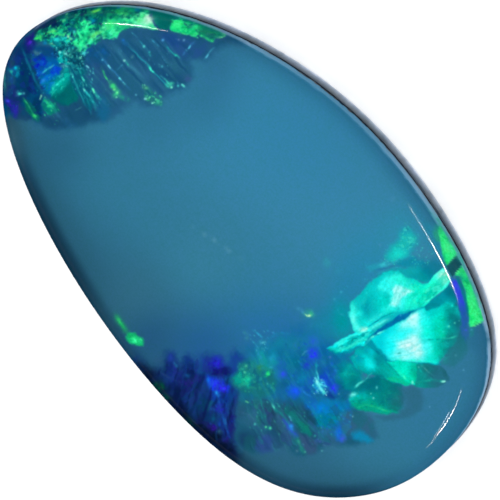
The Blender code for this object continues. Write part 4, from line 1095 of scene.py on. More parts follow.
# Outlines that two textures share
FAN_FIELD = [(78, 52), (110, 44), (160, 36), (190, 44), (186, 84), (150, 98), (90, 110)]
BAND_FIELD = [(34, 40), (36, 32), (50, 26), (60, 19), (66, 10), (80, 10), (80, 30), (74, 44), (60, 47),
        (44, 43)]
EMERALD_FIELD = [(74, 34), (78, 22), (84, 18), (96, 24), (106, 28), (100, 40), (92, 47), (82, 56), (74, 48)]
LAWN_FIELD = [(102, 24), (110, 16), (124, 12), (140, 12), (146, 18), (136, 27), (122, 31), (114, 40),
        (102, 38)]
TOP_FIELD = [(62, 16), (84, 8), (104, 5), (140, 7), (142, 16), (110, 20), (88, 24), (66, 26)]
MOSAIC_FIELD = [(54, 44), (66, 42), (76, 48), (86, 54), (86, 66), (74, 70), (60, 66), (54, 56)]
UPPER_TEXTURES = {
    "top_cells": ("mosaic", [(56, 14), (84, 8), (104, 8), (104, 24), (90, 30), (60, 32)], [(8, 100, 92),
        (12, 50, 96), (20, 140, 104), (6, 76, 92), (8, 90, 116)], {"spacing": 3.2, "share": 0.75,
        "keep": 0.7, "seed": 37}),
    "band_cells": ("mosaic", [(34, 34), (48, 29), (66, 24), (74, 32), (70, 44), (52, 44), (38, 41)],
        [(40, 206, 146), (10, 120, 100), (16, 160, 130), (60, 226, 140), (6, 90, 96), (10, 70, 90)],
        {"spacing": 2.6, "stretch": 1.5, "angle": -20, "share": 0.8, "keep": 0.8, "seed": 38}),
    "band_cells_low": ("mosaic", [(50, 38), (70, 36), (76, 48), (70, 58), (58, 50)], [(10, 140, 150),
        (30, 206, 196), (14, 90, 106), (20, 160, 160), (12, 70, 100)], {"spacing": 2.6, "share": 0.75,
        "keep": 0.75, "seed": 39}),
    "emerald_cells": ("mosaic", [(76, 22), (96, 24), (106, 30), (98, 42), (84, 50), (74, 46)],
        [(14, 190, 124), (50, 246, 160), (8, 150, 108), (30, 236, 146)], {"spacing": 2.8, "share": 0.55,
        "keep": 0.6, "seed": 40}),
    "lawn_cells": ("mosaic", [(104, 20), (140, 13), (150, 24), (124, 29), (110, 39), (100, 34)],
        [(24, 190, 134), (86, 246, 176), (44, 224, 150), (70, 240, 140)], {"spacing": 2.8, "stretch": 1.4,
        "angle": -15, "share": 0.6, "keep": 0.65, "seed": 41}),
    "top_strip_cells": ("mosaic", [(100, 7), (150, 8), (150, 16), (104, 20)], [(18, 150, 106), (6, 104, 98),
        (24, 160, 108), (10, 112, 108)], {"spacing": 3, "stretch": 1.4, "angle": 8, "share": 0.6,
        "keep": 0.6, "seed": 42}),
    "quad_cells": ("mosaic", [(170, 24), (182, 20), (200, 26), (198, 37), (172, 31)], [(12, 180, 116),
        (64, 246, 150), (30, 214, 132)], {"spacing": 2.8, "share": 0.5, "keep": 0.6, "seed": 43}),
    "panel_cells": ("mosaic", [(198, 25), (224, 34), (210, 41), (198, 34)], [(20, 150, 112), (14, 104, 104),
        (28, 128, 108)], {"spacing": 2.6, "share": 0.5, "keep": 0.6, "seed": 44}),
    "mosaic_cells": ("mosaic", [(58, 40), (78, 46), (86, 62), (74, 68), (62, 60)], [(40, 146, 146),
        (14, 84, 106), (60, 180, 166), (20, 112, 122), (40, 124, 134)], {"spacing": 2.8, "share": 0.6,
        "keep": 0.75, "seed": 45}),
    "left_cells": ("mosaic", [(6, 60), (40, 48), (50, 96), (36, 118), (8, 112)], [(12, 80, 120),
        (20, 30, 110), (8, 60, 90), (24, 50, 140)], {"spacing": 5, "share": 0.45, "keep": 0.5, "seed": 46,
        "soft": 8}),
    "blue_cells": ("mosaic", [(34, 60), (60, 62), (56, 84), (46, 94), (38, 76)], [(12, 110, 200),
        (12, 70, 180), (10, 96, 176), (10, 118, 168)], {"spacing": 3.4, "stretch": 1.8, "angle": -35,
        "share": 0.5, "keep": 0.6, "seed": 47}),
    "fan_strands": ("strands", FAN_FIELD, (48, 116, 146), {"angle": 52, "width": 2.4, "length": 30,
        "share": 0.32, "seed": 48, "soft": 10}),
    "fan_dark": ("strands", FAN_FIELD, (20, 70, 112), {"angle": 50, "width": 3.6, "length": 34,
        "share": 0.45, "seed": 49, "soft": 10}),
    "ray_strands": ("strands", [(66, 62), (92, 60), (104, 104), (90, 114), (72, 88)], (30, 150, 160),
        {"angle": 64, "width": 1.9, "length": 16, "share": 0.4, "seed": 50, "start": 0.6}),
    "low_left_strands": ("strands", [(20, 90), (64, 96), (100, 112), (60, 128), (24, 116)], (18, 68, 104),
        {"angle": 58, "width": 3, "length": 18, "share": 0.4, "seed": 51, "soft": 8}),
    "crescent_cells": ("mosaic", [(48, 94), (52, 84), (64, 66), (72, 72), (66, 84), (56, 96)],
        [(60, 240, 214), (6, 150, 140), (20, 200, 176)], {"spacing": 2.8, "stretch": 1.6, "angle": -50,
        "share": 0.4, "keep": 0.6, "seed": 52}),
    "field_cells": ("mosaic", [(142, 85), (152, 88), (162, 100), (160, 106), (146, 102)], [(60, 190, 140),
        (40, 110, 120), (100, 220, 180)], {"spacing": 2.6, "share": 0.6, "keep": 0.5, "seed": 53}),
    "band_dust_dark": ("dust", BAND_FIELD, [(6, 60, 84), (8, 84, 92), (4, 50, 76), (8, 96, 96)],
        {"count": 420, "radius": 1.1, "share": 0.9, "clump": 6, "seed": 101}),
    "band_dust_light": ("dust", BAND_FIELD, [(40, 226, 140), (24, 216, 150), (80, 232, 146), (30, 210, 176),
        (20, 200, 160)], {"count": 210, "radius": 0.7, "share": 0.85, "clump": 6, "seed": 102, "angle": -25,
        "stretch": 1.4}),
    "emerald_dust_dark": ("dust", EMERALD_FIELD, [(4, 110, 90), (6, 90, 84), (8, 140, 100)], {"count": 170,
        "radius": 1.2, "share": 0.85, "clump": 5, "seed": 103}),
    "emerald_dust_light": ("dust", EMERALD_FIELD, [(60, 255, 170), (40, 250, 160), (90, 255, 170)],
        {"count": 240, "radius": 0.8, "share": 0.7, "clump": 5, "seed": 104, "angle": -40, "stretch": 1.4}),
    "lawn_dust_dark": ("dust", LAWN_FIELD, [(10, 140, 104), (6, 110, 100), (20, 176, 118)], {"count": 220,
        "radius": 1.2, "share": 0.75, "clump": 6, "seed": 105, "angle": -20, "stretch": 1.4}),
    "lawn_dust_light": ("dust", LAWN_FIELD, [(110, 255, 190), (70, 250, 160), (90, 248, 140)],
        {"count": 280, "radius": 0.8, "share": 0.75, "clump": 6, "seed": 106, "angle": -20,
        "stretch": 1.5}),
    "top_dust_dark": ("dust", TOP_FIELD, [(4, 60, 86), (6, 84, 92), (4, 50, 80)], {"count": 220,
        "radius": 1.2, "share": 0.6, "clump": 6, "seed": 107}),
    "top_dust_light": ("dust", TOP_FIELD, [(20, 150, 110), (16, 130, 112), (40, 184, 116), (20, 140, 140)],
        {"count": 140, "radius": 0.7, "share": 0.7, "clump": 6, "seed": 108}),
    "mosaic_dust_dark": ("dust", MOSAIC_FIELD, [(10, 60, 84), (14, 76, 96), (10, 50, 80)], {"count": 260,
        "radius": 0.9, "share": 0.85, "clump": 6, "seed": 109}),
    "mosaic_dust_light": ("dust", MOSAIC_FIELD, [(40, 170, 170), (70, 210, 200), (30, 150, 150),
        (120, 240, 230), (20, 130, 140)], {"count": 170, "radius": 0.55, "share": 0.8, "clump": 6,
        "seed": 110}),
    "blue_dust": ("dust", [(30, 50), (58, 50), (60, 78), (46, 96), (34, 76)], [(20, 150, 220),
        (50, 190, 230), (20, 90, 220)], {"count": 90, "radius": 0.6, "share": 0.7, "clump": 6, "seed": 111,
        "angle": -35, "stretch": 1.5}),
    "fan_dust": ("dust", [(84, 60), (112, 44), (160, 34), (200, 44), (190, 84), (160, 100), (100, 110)],
        [(60, 160, 190), (80, 200, 200), (50, 130, 180)], {"count": 110, "radius": 0.5, "share": 0.5,
        "clump": 14, "seed": 112, "angle": 52, "stretch": 2.0}),
    "ray_dust": ("dust", [(68, 62), (92, 60), (106, 104), (92, 114), (76, 92)], [(50, 190, 190),
        (90, 230, 220), (30, 150, 170)], {"count": 110, "radius": 0.5, "share": 0.7, "clump": 8,
        "seed": 113, "angle": 64, "stretch": 2.2}),
    "field_dust": ("dust", [(141, 85), (150, 85), (163, 99), (162, 107), (148, 104)], [(60, 210, 150),
        (120, 240, 180), (40, 160, 130), (30, 110, 120)], {"count": 70, "radius": 0.7, "share": 0.8,
        "clump": 4, "seed": 114}),
    "quad_dust": ("dust", [(170, 22), (182, 18), (202, 26), (198, 38), (172, 32)], [(10, 170, 112),
        (70, 250, 160), (20, 200, 120)], {"count": 110, "radius": 0.8, "share": 0.6, "clump": 5,
        "seed": 115, "angle": 25, "stretch": 1.5}),
    "left_dust": ("dust", [(6, 60), (24, 50), (44, 96), (56, 112), (40, 124), (14, 114)], [(20, 120, 160),
        (16, 150, 150), (30, 60, 150), (40, 190, 160)], {"count": 110, "radius": 0.6, "share": 0.6,
        "clump": 7, "seed": 116}),
    "leaf_dust": ("dust", [(42, 96), (56, 100), (62, 112), (46, 116)], [(40, 220, 140), (8, 110, 100),
        (70, 240, 160)], {"count": 60, "radius": 0.7, "share": 0.7, "clump": 4, "seed": 117, "angle": 55,
        "stretch": 1.6}),
    "low_dust": ("dust", [(40, 112), (66, 112), (74, 126), (48, 126)], [(40, 150, 130), (60, 180, 150)],
        {"count": 30, "radius": 0.5, "share": 0.7, "clump": 8, "seed": 118}),
}

UPPER_STREAKS = {
    "left_teal_line": ([(21, 46), (25, 56), (30, 68), (35, 80), (41, 91)], 2.25, 3, (16, 104, 134),
        {"broken": 0.3}),
    "left_teal_foot": ([(41, 91), (47, 100), (54, 110), (62, 121)], 1.5, 2, (44, 116, 146), {"share": 0.7}),
    "stem": ([(23, 97), (27, 103), (31, 110), (34, 116), (37, 121)], 1.3, 1.8, (40, 166, 116), {}),
    "white_dash": ([(41.5, 94), (40.8, 97), (40, 100)], 1.5, 1.4, (116, 200, 176), {}),
    "leaf_spine": ([(45, 99), (49, 104), (54, 110)], 1.8, 1.6, (30, 190, 134), {"broken": 0.3}),
    "crescent": ([(50.5, 96), (51, 91), (55, 86), (60, 82), (63, 78), (66, 72), (66, 67)], 4.6, 3,
        (6, 178, 162), {}),
    "crescent_edge": ([(51, 93), (53, 87.5), (58, 83.5), (62, 79.5)], 1.8, 1.6, (50, 236, 208), {}),
    "cyan_line": ([(41, 74), (46, 69.5), (50, 67), (54, 64.5)], 1.8, 1.6, (46, 176, 204), {}),
    "cyan_line_light": ([(49, 68), (54, 64.5)], 1.2, 1.2, (110, 232, 236), {}),
    "horn_dash": ([(61, 67), (64, 65.5), (68, 66.5)], 1.95, 1.4, (100, 244, 220), {}),
    "horn_tail": ([(67, 66), (68, 72), (70, 80)], 2.25, 2.5, (6, 166, 152), {"share": 0.8}),
    "grey_smear": ([(32, 51), (36, 53.5), (43, 53)], 4, 3, (70, 128, 142), {"share": 0.7}),
    "yellow_vein": ([(46, 35.3), (48, 33.5), (50.5, 32), (54, 31), (58, 30)], 1.5, 1.2, (96, 216, 124),
        {"broken": 0.3, "rough": 0.3, "share": 0.8}),
    "green_vein": ([(49, 44), (52, 43.5), (55, 45.5)], 1.35, 1.4, (150, 250, 182), {}),
    "top_flash": ([(91, 13), (95, 11), (101, 8.6)], 2.4, 1.6, (100, 226, 100), {"broken": 0.3,
        "rough": 0.3}),
    "emerald_ridge": ([(90, 38), (96, 34), (103, 31)], 3.4, 2.4, (96, 228, 124), {"share": 0.8}),
    "emerald_edge": ([(85, 45), (92, 42), (97, 38)], 1.5, 1.6, (70, 244, 180), {"share": 0.8}),
    "lawn_edge": ([(112, 38), (117, 33), (123, 29), (131, 27)], 1.35, 1.6, (60, 250, 150), {"share": 0.7}),
    "lawn_top": ([(108, 20), (118, 20), (130, 19)], 2.25, 3, (20, 196, 140), {"share": 0.6}),
    # The green's pale lower edge, partly a painted reflection of the upper left strip
    "pale_foot_and_reflection": ([(128, 25), (140, 26), (150, 28), (160, 30)], 0.9, 1.2, (150, 244, 200), {"share": 0.5}),
    "quad_foot": ([(171, 31), (180, 32.5), (188, 35), (197, 37)], 1.35, 1.4, (60, 226, 140),
        {"share": 0.8}),
    "quad_top": ([(176, 16), (181, 16), (186, 19)], 1.8, 2, (24, 178, 158), {}),
    "panel_foot": ([(199, 35), (206, 38.5), (213, 41.5)], 2.1, 1.6, (50, 206, 136), {"ends": (0.1, 0.1)}),
    "panel_tip": ([(217, 38.5), (222, 37), (226, 35), (221, 32)], 1.5, 1.5, (80, 190, 150), {}),
    "panel_lines": ([(205, 31), (214, 33), (221, 35)], 1.2, 1.4, (26, 150, 96), {"share": 0.7}),
    "first_ray": ([(69, 66), (72, 74), (75, 82), (79, 91), (83, 100), (86, 106)], 1.5, 1.8, (28, 146, 156),
        {"broken": 0.3}),
    "first_ray_light": ([(71, 73.5), (73.5, 78.5)], 1.5, 1.3, (76, 228, 216), {}),
    "second_ray": ([(77, 64), (80, 72), (84, 81)], 1.65, 2, (22, 150, 152), {}),
    "second_ray_light": ([(82, 76), (84.5, 81.5)], 1.5, 1.3, (74, 230, 204), {}),
    "third_ray": ([(82, 86), (87, 93), (91, 99), (95, 105)], 1.5, 1.6, (38, 182, 188), {}),
    "third_ray_light": ([(83, 87), (85.5, 91)], 1.5, 1.2, (112, 250, 224), {}),
    "fourth_ray": ([(90, 84), (93, 90), (96, 95), (100, 100)], 1.8, 1.8, (42, 190, 172), {}),
    "fourth_ray_light": ([(92, 88), (95, 94)], 1.8, 1.4, (98, 250, 196), {}),
    "pale_dash": ([(86, 65), (89.5, 69)], 1.5, 1.3, (110, 210, 224), {}),
    "fifth_ray": ([(99, 55), (104, 61), (110, 68), (115, 72), (120, 79), (126, 85), (131, 91)], 1.35, 1.6,
        (44, 124, 176), {"broken": 0.2, "share": 0.8}),
    "fifth_ray_light": ([(107.5, 64.5), (111, 68.5)], 1.5, 1.2, (110, 224, 236), {}),
    "fifth_ray_low": ([(118.5, 77.5), (121.5, 81)], 1.65, 1.3, (96, 232, 240), {}),
    "fifth_ray_foot": ([(122.5, 82), (125.5, 85.5)], 1.35, 1.3, (96, 232, 214), {}),
    "branch": ([(116, 71), (119, 68), (123, 63.5)], 1.2, 1.4, (54, 150, 190), {}),
    "green_ray": ([(101, 67), (105, 76), (110, 83)], 1.65, 1.8, (44, 160, 124), {}),
    "green_ray_light": ([(105, 76), (107, 79), (110, 84)], 1.2, 1.4, (70, 220, 130), {"share": 0.8}),
    "comet_tail": ([(118, 95), (124, 99), (130, 100.5)], 3.6, 3, (36, 166, 134), {"broken": 0.8,
        "share": 0.6}),
    "sixth_ray": ([(111, 42), (117, 50), (122, 57), (128, 65), (137, 72), (147, 80)], 3.4, 2.6,
        (54, 128, 158), {"share": 0.75, "broken": 0.2}),
    "sixth_ray_light": ([(125, 61), (128.5, 65.5)], 1.35, 1.3, (44, 204, 174), {}),
    "blue_dash": ([(121, 39), (124, 42), (128, 46)], 3.4, 2.2, (30, 112, 190), {}),
    "seventh_ray": ([(128, 46), (138, 55), (147, 64), (154, 72), (162, 80), (169, 87)], 1.35, 1.6,
        (34, 150, 170), {"ends": (0.2, 0.05), "broken": 0.2, "share": 0.8}),
    "seventh_ray_light": ([(149, 66), (152, 70), (155, 73)], 1.65, 1.3, (62, 250, 206), {}),
    "twin_ray": ([(160, 75), (166, 80), (171, 85)], 1.35, 1.4, (54, 200, 184), {"share": 0.8}),
    "short_ray": ([(130.5, 31.5), (134, 35), (138, 38)], 1.2, 1.2, (64, 176, 204), {"share": 0.8}),
    "eighth_ray": ([(138, 39), (142, 44), (147, 50), (151, 56.5)], 1.35, 1.5, (38, 140, 172),
        {"share": 0.8}),
    "eighth_ray_light": ([(149, 51), (151, 56)], 1.65, 1.4, (48, 196, 184), {}),
    "ninth_ray": ([(151, 39), (155, 43), (159, 47)], 1.5, 1.6, (54, 156, 196), {"share": 0.8}),
    "tenth_ray": ([(163, 41), (167, 47), (171, 52), (176, 56), (181, 58.5)], 1.8, 1.8, (36, 156, 164),
        {"share": 0.8}),
    "tenth_ray_light": ([(174, 55), (177, 56), (181, 58)], 1.65, 1.4, (44, 206, 176), {}),
    "right_ray": ([(195, 41), (189, 48), (182, 56)], 1.8, 1.8, (50, 128, 190), {"share": 0.8}),
    "right_ray_light": ([(191, 45.5), (188, 49)], 1.35, 1.2, (84, 200, 226), {}),
    "far_ray": ([(215, 47), (209, 53), (204, 60)], 1.5, 1.6, (56, 148, 180), {"share": 0.8}),
    "far_ray_light": ([(209, 54), (206, 58)], 1.35, 1.3, (80, 180, 206), {}),
    "hook": ([(180, 84), (183, 85.5), (186, 88)], 1.65, 1.4, (90, 220, 206), {}),
    "pale_hair": ([(75, 111), (78, 109.5), (82, 106.5)], 0.9, 1.2, (84, 180, 176), {}),
    "left_rim_line": ([(4.5, 68), (4, 76), (4.5, 86), (6, 96)], 1.8, 2, (54, 140, 140), {"share": 0.8}),
    "green_comma": ([(36, 38.2), (39, 38), (41.5, 37)], 2.2, 1.2, (60, 226, 112), {"broken": 0.2,
        "rough": 0.2, "ends": (0.1, 0.2)}),
    # Painted reflection of the pale sheet in the rounded upper left rim
    "rim_reflection": ([(34, 29.2), (40, 24.8), (50, 18.4), (60, 14.2), (70, 10.6)], 2.6, 1.2, (94, 124, 156),
        {"rough": 0.1, "broken": 0.1, "ends": (0.1, 0.3)}),
}

UPPER_SPOTS = {
    "violet_point": ((30, 43.5), 1.9, (84, 54, 232), {"stretch": 1.2, "angle": -20}),
    "violet_haze": ((28, 44), 4, (40, 30, 150), {"share": 0.45}),
    "blue_point": ((8, 101), 2.2, (62, 72, 236), {}),
    "teal_spark": ((15.5, 68), 1.58, (10, 196, 224), {"rough": 0.3, "broken": 0.2}),
    "teal_spark_low": ((11.5, 71.5), 1.58, (44, 186, 176), {"rough": 0.3, "broken": 0.2}),
    "teal_dot": ((11, 79), 3, (24, 100, 150), {}),
    "cyan_point": ((20, 93.5), 2.0, (76, 240, 216), {"stretch": 1.3}),
    "stem_glow": ((34.5, 116), 1.9, (50, 220, 118), {"stretch": 1.3, "angle": 60}),
    "leaf_light": ((51.5, 105.5), 1.7, (46, 214, 144), {"share": 0.8}),
    "azure_spark": ((43.5, 80), 1.6, (46, 142, 226), {"stretch": 1.3, "angle": -40}),
    "bowl_spark": ((62, 79.5), 1.8, (40, 225, 205), {}),
    "horn_tip": ((59.5, 52), 1.37, (110, 244, 232), {"rough": 0.3, "broken": 0.2}),
    "blue_dot": ((44, 42), 2.4, (16, 120, 172), {"stretch": 1.3}),
    "teal_light": ((58, 39.5), 3, (36, 236, 224), {"stretch": 1.7, "angle": -10}),
    "green_bud": ((38, 37.5), 3.2, (40, 214, 140), {"stretch": 1.2, "share": 0.4}),
    "green_cell": ((60, 31), 3, (26, 206, 150), {}),
    "pale_cell": ((68, 36.5), 1.3, (170, 255, 200), {"rough": 0.2, "broken": 0.2}),
    "pale_cell_low": ((71, 39), 1.15, (130, 240, 180), {"rough": 0.2, "broken": 0.2}),
    "blue_cell": ((70, 30), 2.6, (6, 62, 132), {"share": 0.8}),
    "emerald_white": ((87.5, 24), 1.15, (120, 255, 200), {"rough": 0.3, "broken": 0.2, "share": 0.6}),
    "emerald_light": ((84, 29), 4, (54, 246, 166), {"share": 0.3}),
    "emerald_light_low": ((86, 38), 4, (48, 240, 156), {"share": 0.3}),
    "blue_pool": ((93, 20.5), 3.2, (6, 140, 176), {"stretch": 1.2}),
    "lime": ((110, 26), 5, (58, 240, 134), {"stretch": 1.3, "share": 0.7}),
    "lime_right": ((120, 27), 4, (30, 214, 140), {"share": 0.5}),
    "green_top_right": ((125, 8), 2.6, (60, 200, 110), {"stretch": 1.3, "share": 0.8}),
    "green_top_mid": ((118, 12), 3.4, (24, 164, 92), {"share": 0.8}),
    "moss": ((124, 13), 3, (64, 150, 64), {"share": 0.35}),
    "blue_top_right": ((137.5, 10), 2.6, (14, 120, 170), {}),
    "triangle_white": ((148, 20), 4.2, (205, 255, 232), {"stretch": 1.3}),
    "triangle_light": ((142, 22), 4.5, (120, 250, 190), {"stretch": 1.6, "share": 0.8}),
    "quad_light": ((178, 25), 4.4, (58, 250, 152), {"stretch": 1.2}),
    "quad_corner": ((198, 28), 2.4, (40, 206, 136), {"share": 0.8}),
    "comet": ((113, 86), 3, (60, 216, 130), {"stretch": 1.7, "angle": 62}),
    "comet_head": ((114, 89.5), 1.15, (120, 240, 160), {"rough": 0.3, "broken": 0.2}),
    "blob": ((116.3, 93.8), 3.4, (60, 226, 140), {}),
    "knot": ((170, 85), 2.8, (70, 240, 186), {"stretch": 1.2}),
    "violet_far": ((188, 79), 4, (62, 86, 146), {"share": 0.6}),
    "field_low": ((157.5, 102.5), 2.2, (70, 216, 150), {}),
    "teal_under": ((58, 44), 3, (12, 150, 168), {"share": 0.9}),
}
UPPER_SPARKS = {
    "cyan_point_beside": ((24, 93.5), 1.15, (62, 152, 180), {}),
    "leaf_light_up": ((48.5, 106), 1.44, (40, 214, 140), {}),
    "horn_dot": ((66, 54), 1.22, (120, 232, 224), {}),
    "green_bud_up": ((42, 36), 1.58, (60, 206, 140), {"share": 0.3}),
    "green_cell_left": ((55, 33), 1.44, (34, 206, 124), {}),
    "green_dot": ((66.5, 14), 1.3, (76, 182, 150), {}),
    "green_dot_low": ((64, 20.5), 1.58, (76, 220, 152), {}),
    "cyan_cell": ((74, 32), 1.44, (60, 230, 210), {}),
    "cyan_cell_up": ((72, 23), 1.44, (30, 150, 160), {}),
    "green_top": ((84, 19), 1.44, (36, 170, 120), {}),
    "blue_top": ((119, 7.5), 1.44, (24, 90, 180), {"share": 0.8}),
    "quad_corner_low": ((196.5, 34), 1.44, (50, 214, 136), {}),
    "sky_dash": ((84, 53.5), 1.58, (74, 222, 232), {"stretch": 1.5, "angle": -20}),
    "mosaic_spark": ((80.5, 58), 1.22, (110, 244, 200), {}),
    "mosaic_spark_left": ((70, 55), 1.08, (60, 180, 160), {}),
    "ray_spark": ((102.5, 60), 1.08, (70, 170, 205), {}),
    "white_dot": ((124.3, 60.5), 1.1, (130, 228, 220), {}),
    "small_dot": ((132, 57), 1.3, (74, 144, 152), {"stretch": 1.4, "angle": -60, "share": 0.7}),
    "blob_light": ((117, 92.5), 1.15, (110, 240, 160), {}),
    "blob_foot": ((116.5, 97.3), 0.94, (110, 236, 180), {}),
    "ray_eye": ((144, 46.5), 1.3, (80, 210, 210), {}),
    "sky_dot": ((163, 40), 1.37, (70, 160, 214), {}),
    "pale_dot": ((178.5, 39.5), 1.01, (84, 130, 184), {}),
    "pale_dot_right": ((184, 40), 1.15, (92, 160, 200), {}),
    "knot_low": ((171.5, 87.5), 1.08, (126, 255, 214), {}),
    "knot_right": ((178, 86), 1.3, (64, 192, 192), {}),
    "teal_fleck": ((162, 66.5), 1.22, (62, 162, 190), {}),
    "field_light": ((146, 88), 1.58, (100, 214, 150), {"stretch": 1.4, "angle": 10, "share": 0.7}),
    "field_left": ((145, 99), 1.22, (112, 212, 202), {}),
    "field_dot": ((152.5, 103), 0.94, (122, 222, 200), {}),
    "outer_dot": ((136, 95), 1.01, (80, 170, 190), {"share": 0.8}),
}

# Marks in the plain body: the green tip on the lower left rim, a hairline scratch and a few pale points
BODY_PATCHES = {
    "green_tip": ([(128, 333), (136, 334), (144, 340), (143, 345), (135, 346), (129, 343), (126, 338)], 4,
        (22, 176, 112), {"mottle": 0.3}),
}

BODY_TEXTURES = {
    "tip_grain": ("mosaic", [(127, 333), (144, 338), (143, 346), (130, 344)], [(20, 150, 100),
        (70, 240, 150), (30, 190, 120)], {"spacing": 2.6, "share": 0.5, "keep": 0.6, "seed": 54}),
}

BODY_STREAKS = {
    "tip_stem": ([(115, 314), (118, 320), (122, 325), (129, 334)], 5, 3.5, (30, 164, 96), {"broken": 0.3}),
    "tip_stem_light": ([(117, 318), (120, 323)], 2.4, 2, (60, 220, 110), {}),
    "hairline": ([(190, 225), (214, 240), (245, 262)], 1.2, 1.2, (84, 146, 172), {"share": 0.7,
        "broken": 0.3, "rough": 0.2}),
}

BODY_SPOTS = {
    "tip_light": ((134.5, 340.5), 3.2, (66, 255, 166), {}),
    "tip_light_right": ((140, 342), 2.6, (30, 200, 140), {"share": 0.8}),
}
BODY_SPARKS = {
    "speck_by_the_fan": ((212, 98), 1.08, (84, 142, 174), {"share": 0.8}),
    "speck_above": ((237, 124), 1.08, (90, 150, 180), {"share": 0.8}),
    "speck_beside": ((224, 110), 0.86, (70, 140, 170), {"share": 0.7}),
    "speck_right": ((392, 198), 1.08, (88, 150, 184), {"share": 0.7}),
    "speck_low": ((433, 427), 0.86, (110, 180, 200), {"share": 0.8}),
    "speck_low_left": ((429.5, 407), 0.86, (90, 160, 190), {"share": 0.7}),
    "speck_middle": ((380, 245), 1.44, (76, 140, 176), {"share": 0.5}),
}

# Each area's patches, textures, streaks, spots and sparks, in the order in which the areas are painted
AREAS = [
    (NAVY_PATCHES, NAVY_TEXTURES, NAVY_STREAKS, NAVY_SPOTS, {}),
    (BOTTOM_PATCHES, BOTTOM_TEXTURES, BOTTOM_STREAKS, BOTTOM_SPOTS, BOTTOM_SPARKS),
    (MIDDLE_PATCHES, MIDDLE_TEXTURES, MIDDLE_STREAKS, MIDDLE_SPOTS, MIDDLE_SPARKS),
    (RIGHT_PATCHES, RIGHT_TEXTURES, RIGHT_STREAKS, RIGHT_SPOTS, RIGHT_SPARKS),
    (RIM_PATCHES, RIM_TEXTURES, RIM_STREAKS, RIM_SPOTS, RIM_SPARKS),
    (UPPER_PATCHES, UPPER_TEXTURES, UPPER_STREAKS, UPPER_SPOTS, UPPER_SPARKS),
    (BODY_PATCHES, BODY_TEXTURES, BODY_STREAKS, BODY_SPOTS, BODY_SPARKS),
]


# The view

def camera_axes():
    """Right, up and back of the camera, in the stone's frame."""
    towards = LEAN_TOWARDS - STONE_TURN
    lean = Vector((math.cos(towards), math.sin(towards), 0.0))
    upright = Vector((0.0, 0.0, 1.0))
    across = upright.cross(lean)
    back = upright * math.cos(CAMERA_LEAN) + lean * math.sin(CAMERA_LEAN)
    forward_lean = lean * math.cos(CAMERA_LEAN) - upright * math.sin(CAMERA_LEAN)
    right = forward_lean * math.cos(LEAN_TOWARDS) - across * math.sin(LEAN_TOWARDS)
    up = forward_lean * math.sin(LEAN_TOWARDS) + across * math.cos(LEAN_TOWARDS)
    return right, up, back


def photo_pixels(points):
    """Where points of the stone lie in the photograph, x to the right and y down."""
    right, up, back = (np.array(axis) for axis in camera_axes())
    eye = np.array(CAMERA_TARGET) + back * CAMERA_DISTANCE
    seen = points - eye
    depth = -seen @ back
    focal = PIXELS_PER_MM / MM * CAMERA_DISTANCE
    across = PHOTO_MIDDLE + focal * (seen @ right) / depth
    down = PHOTO_MIDDLE - focal * (seen @ up) / depth
    return np.column_stack([across, down])


def add_camera():
    right, up, back = camera_axes()
    data = bpy.data.cameras.new("photo_camera")
    data.sensor_width = SENSOR_WIDTH
    data.lens = SENSOR_WIDTH * PIXELS_PER_MM / MM * CAMERA_DISTANCE / PHOTO_SIDE
    data.clip_start = 0.01
    data.clip_end = 10.0
    camera = bpy.data.objects.new("photo_camera", data)
    turn = Matrix((right, up, back)).transposed().to_4x4()
    camera.matrix_world = Matrix.Translation(CAMERA_TARGET + back * CAMERA_DISTANCE) @ turn
    bpy.context.scene.collection.objects.link(camera)
    bpy.context.scene.camera = camera


# How the colours are laid on

def scattered(column, row, seed):
    """A fixed number from 0 to 1 for each cell of a grid, with no pattern from cell to cell."""
    mixed = column * MIX_COLUMN + row * MIX_ROW + seed * MIX_SEED
    mixed = ((mixed ^ (mixed >> 13)) * MIX_AGAIN) & 0xFFFFFFFF
    return ((mixed ^ (mixed >> 16)) & 0xFFFF) / 0xFFFF


def noise(places, size, seed):
    """Smooth noise from 0 to 1, with features about this large."""
    scaled = places / size
    cell = np.floor(scaled).astype(np.int64)
    inside = scaled - cell
    ease = inside * inside * (3 - 2 * inside)
    left, top = cell.T
    corners = [[scattered(left + right, top + down, seed) for right in (0, 1)] for down in (0, 1)]
    upper = corners[0][0] + (corners[0][1] - corners[0][0]) * ease[:, 0]
    lower = corners[1][0] + (corners[1][1] - corners[1][0]) * ease[:, 0]
    return upper + (lower - upper) * ease[:, 1]


def rough_noise(places, size, seed):
    """Noise in three sizes together, from 0 to 1."""
    coarse = noise(places, size, seed)
    medium = noise(places, size / 2, seed + 1)
    fine = noise(places, size / 4, seed + 2)
    return (coarse * 4 + medium * 2 + fine) / 7


def ramp(values, start, end):
    """Eases from 0 at the start to 1 at the end."""
    share = np.clip((values - start) / (end - start), 0.0, 1.0)
    return share * share * (3 - 2 * share)


def linear(colour):
    """The linear light of a colour from 0 to 255."""
    share = np.asarray(colour, float) / 255
    return np.where(share <= 0.04045, share / 12.92, ((share + 0.055) / 1.055) ** 2.4)


def encoded(light):
    """The screen's value from 0 to 1 of linear light, which is even to the eye. The opal is painted in it."""
    bright = 1.055 * np.maximum(light, 0.0031308) ** (1 / 2.4) - 0.055
    return np.where(light <= 0.0031308, light * 12.92, bright)


def tone(colour):
    """The screen's value from 0 to 1 of a colour from 0 to 255."""
    return np.asarray(colour, float) / 255


def blend(start, end, share):
    share = np.asarray(share)[..., None]
    return start + (end - start) * share


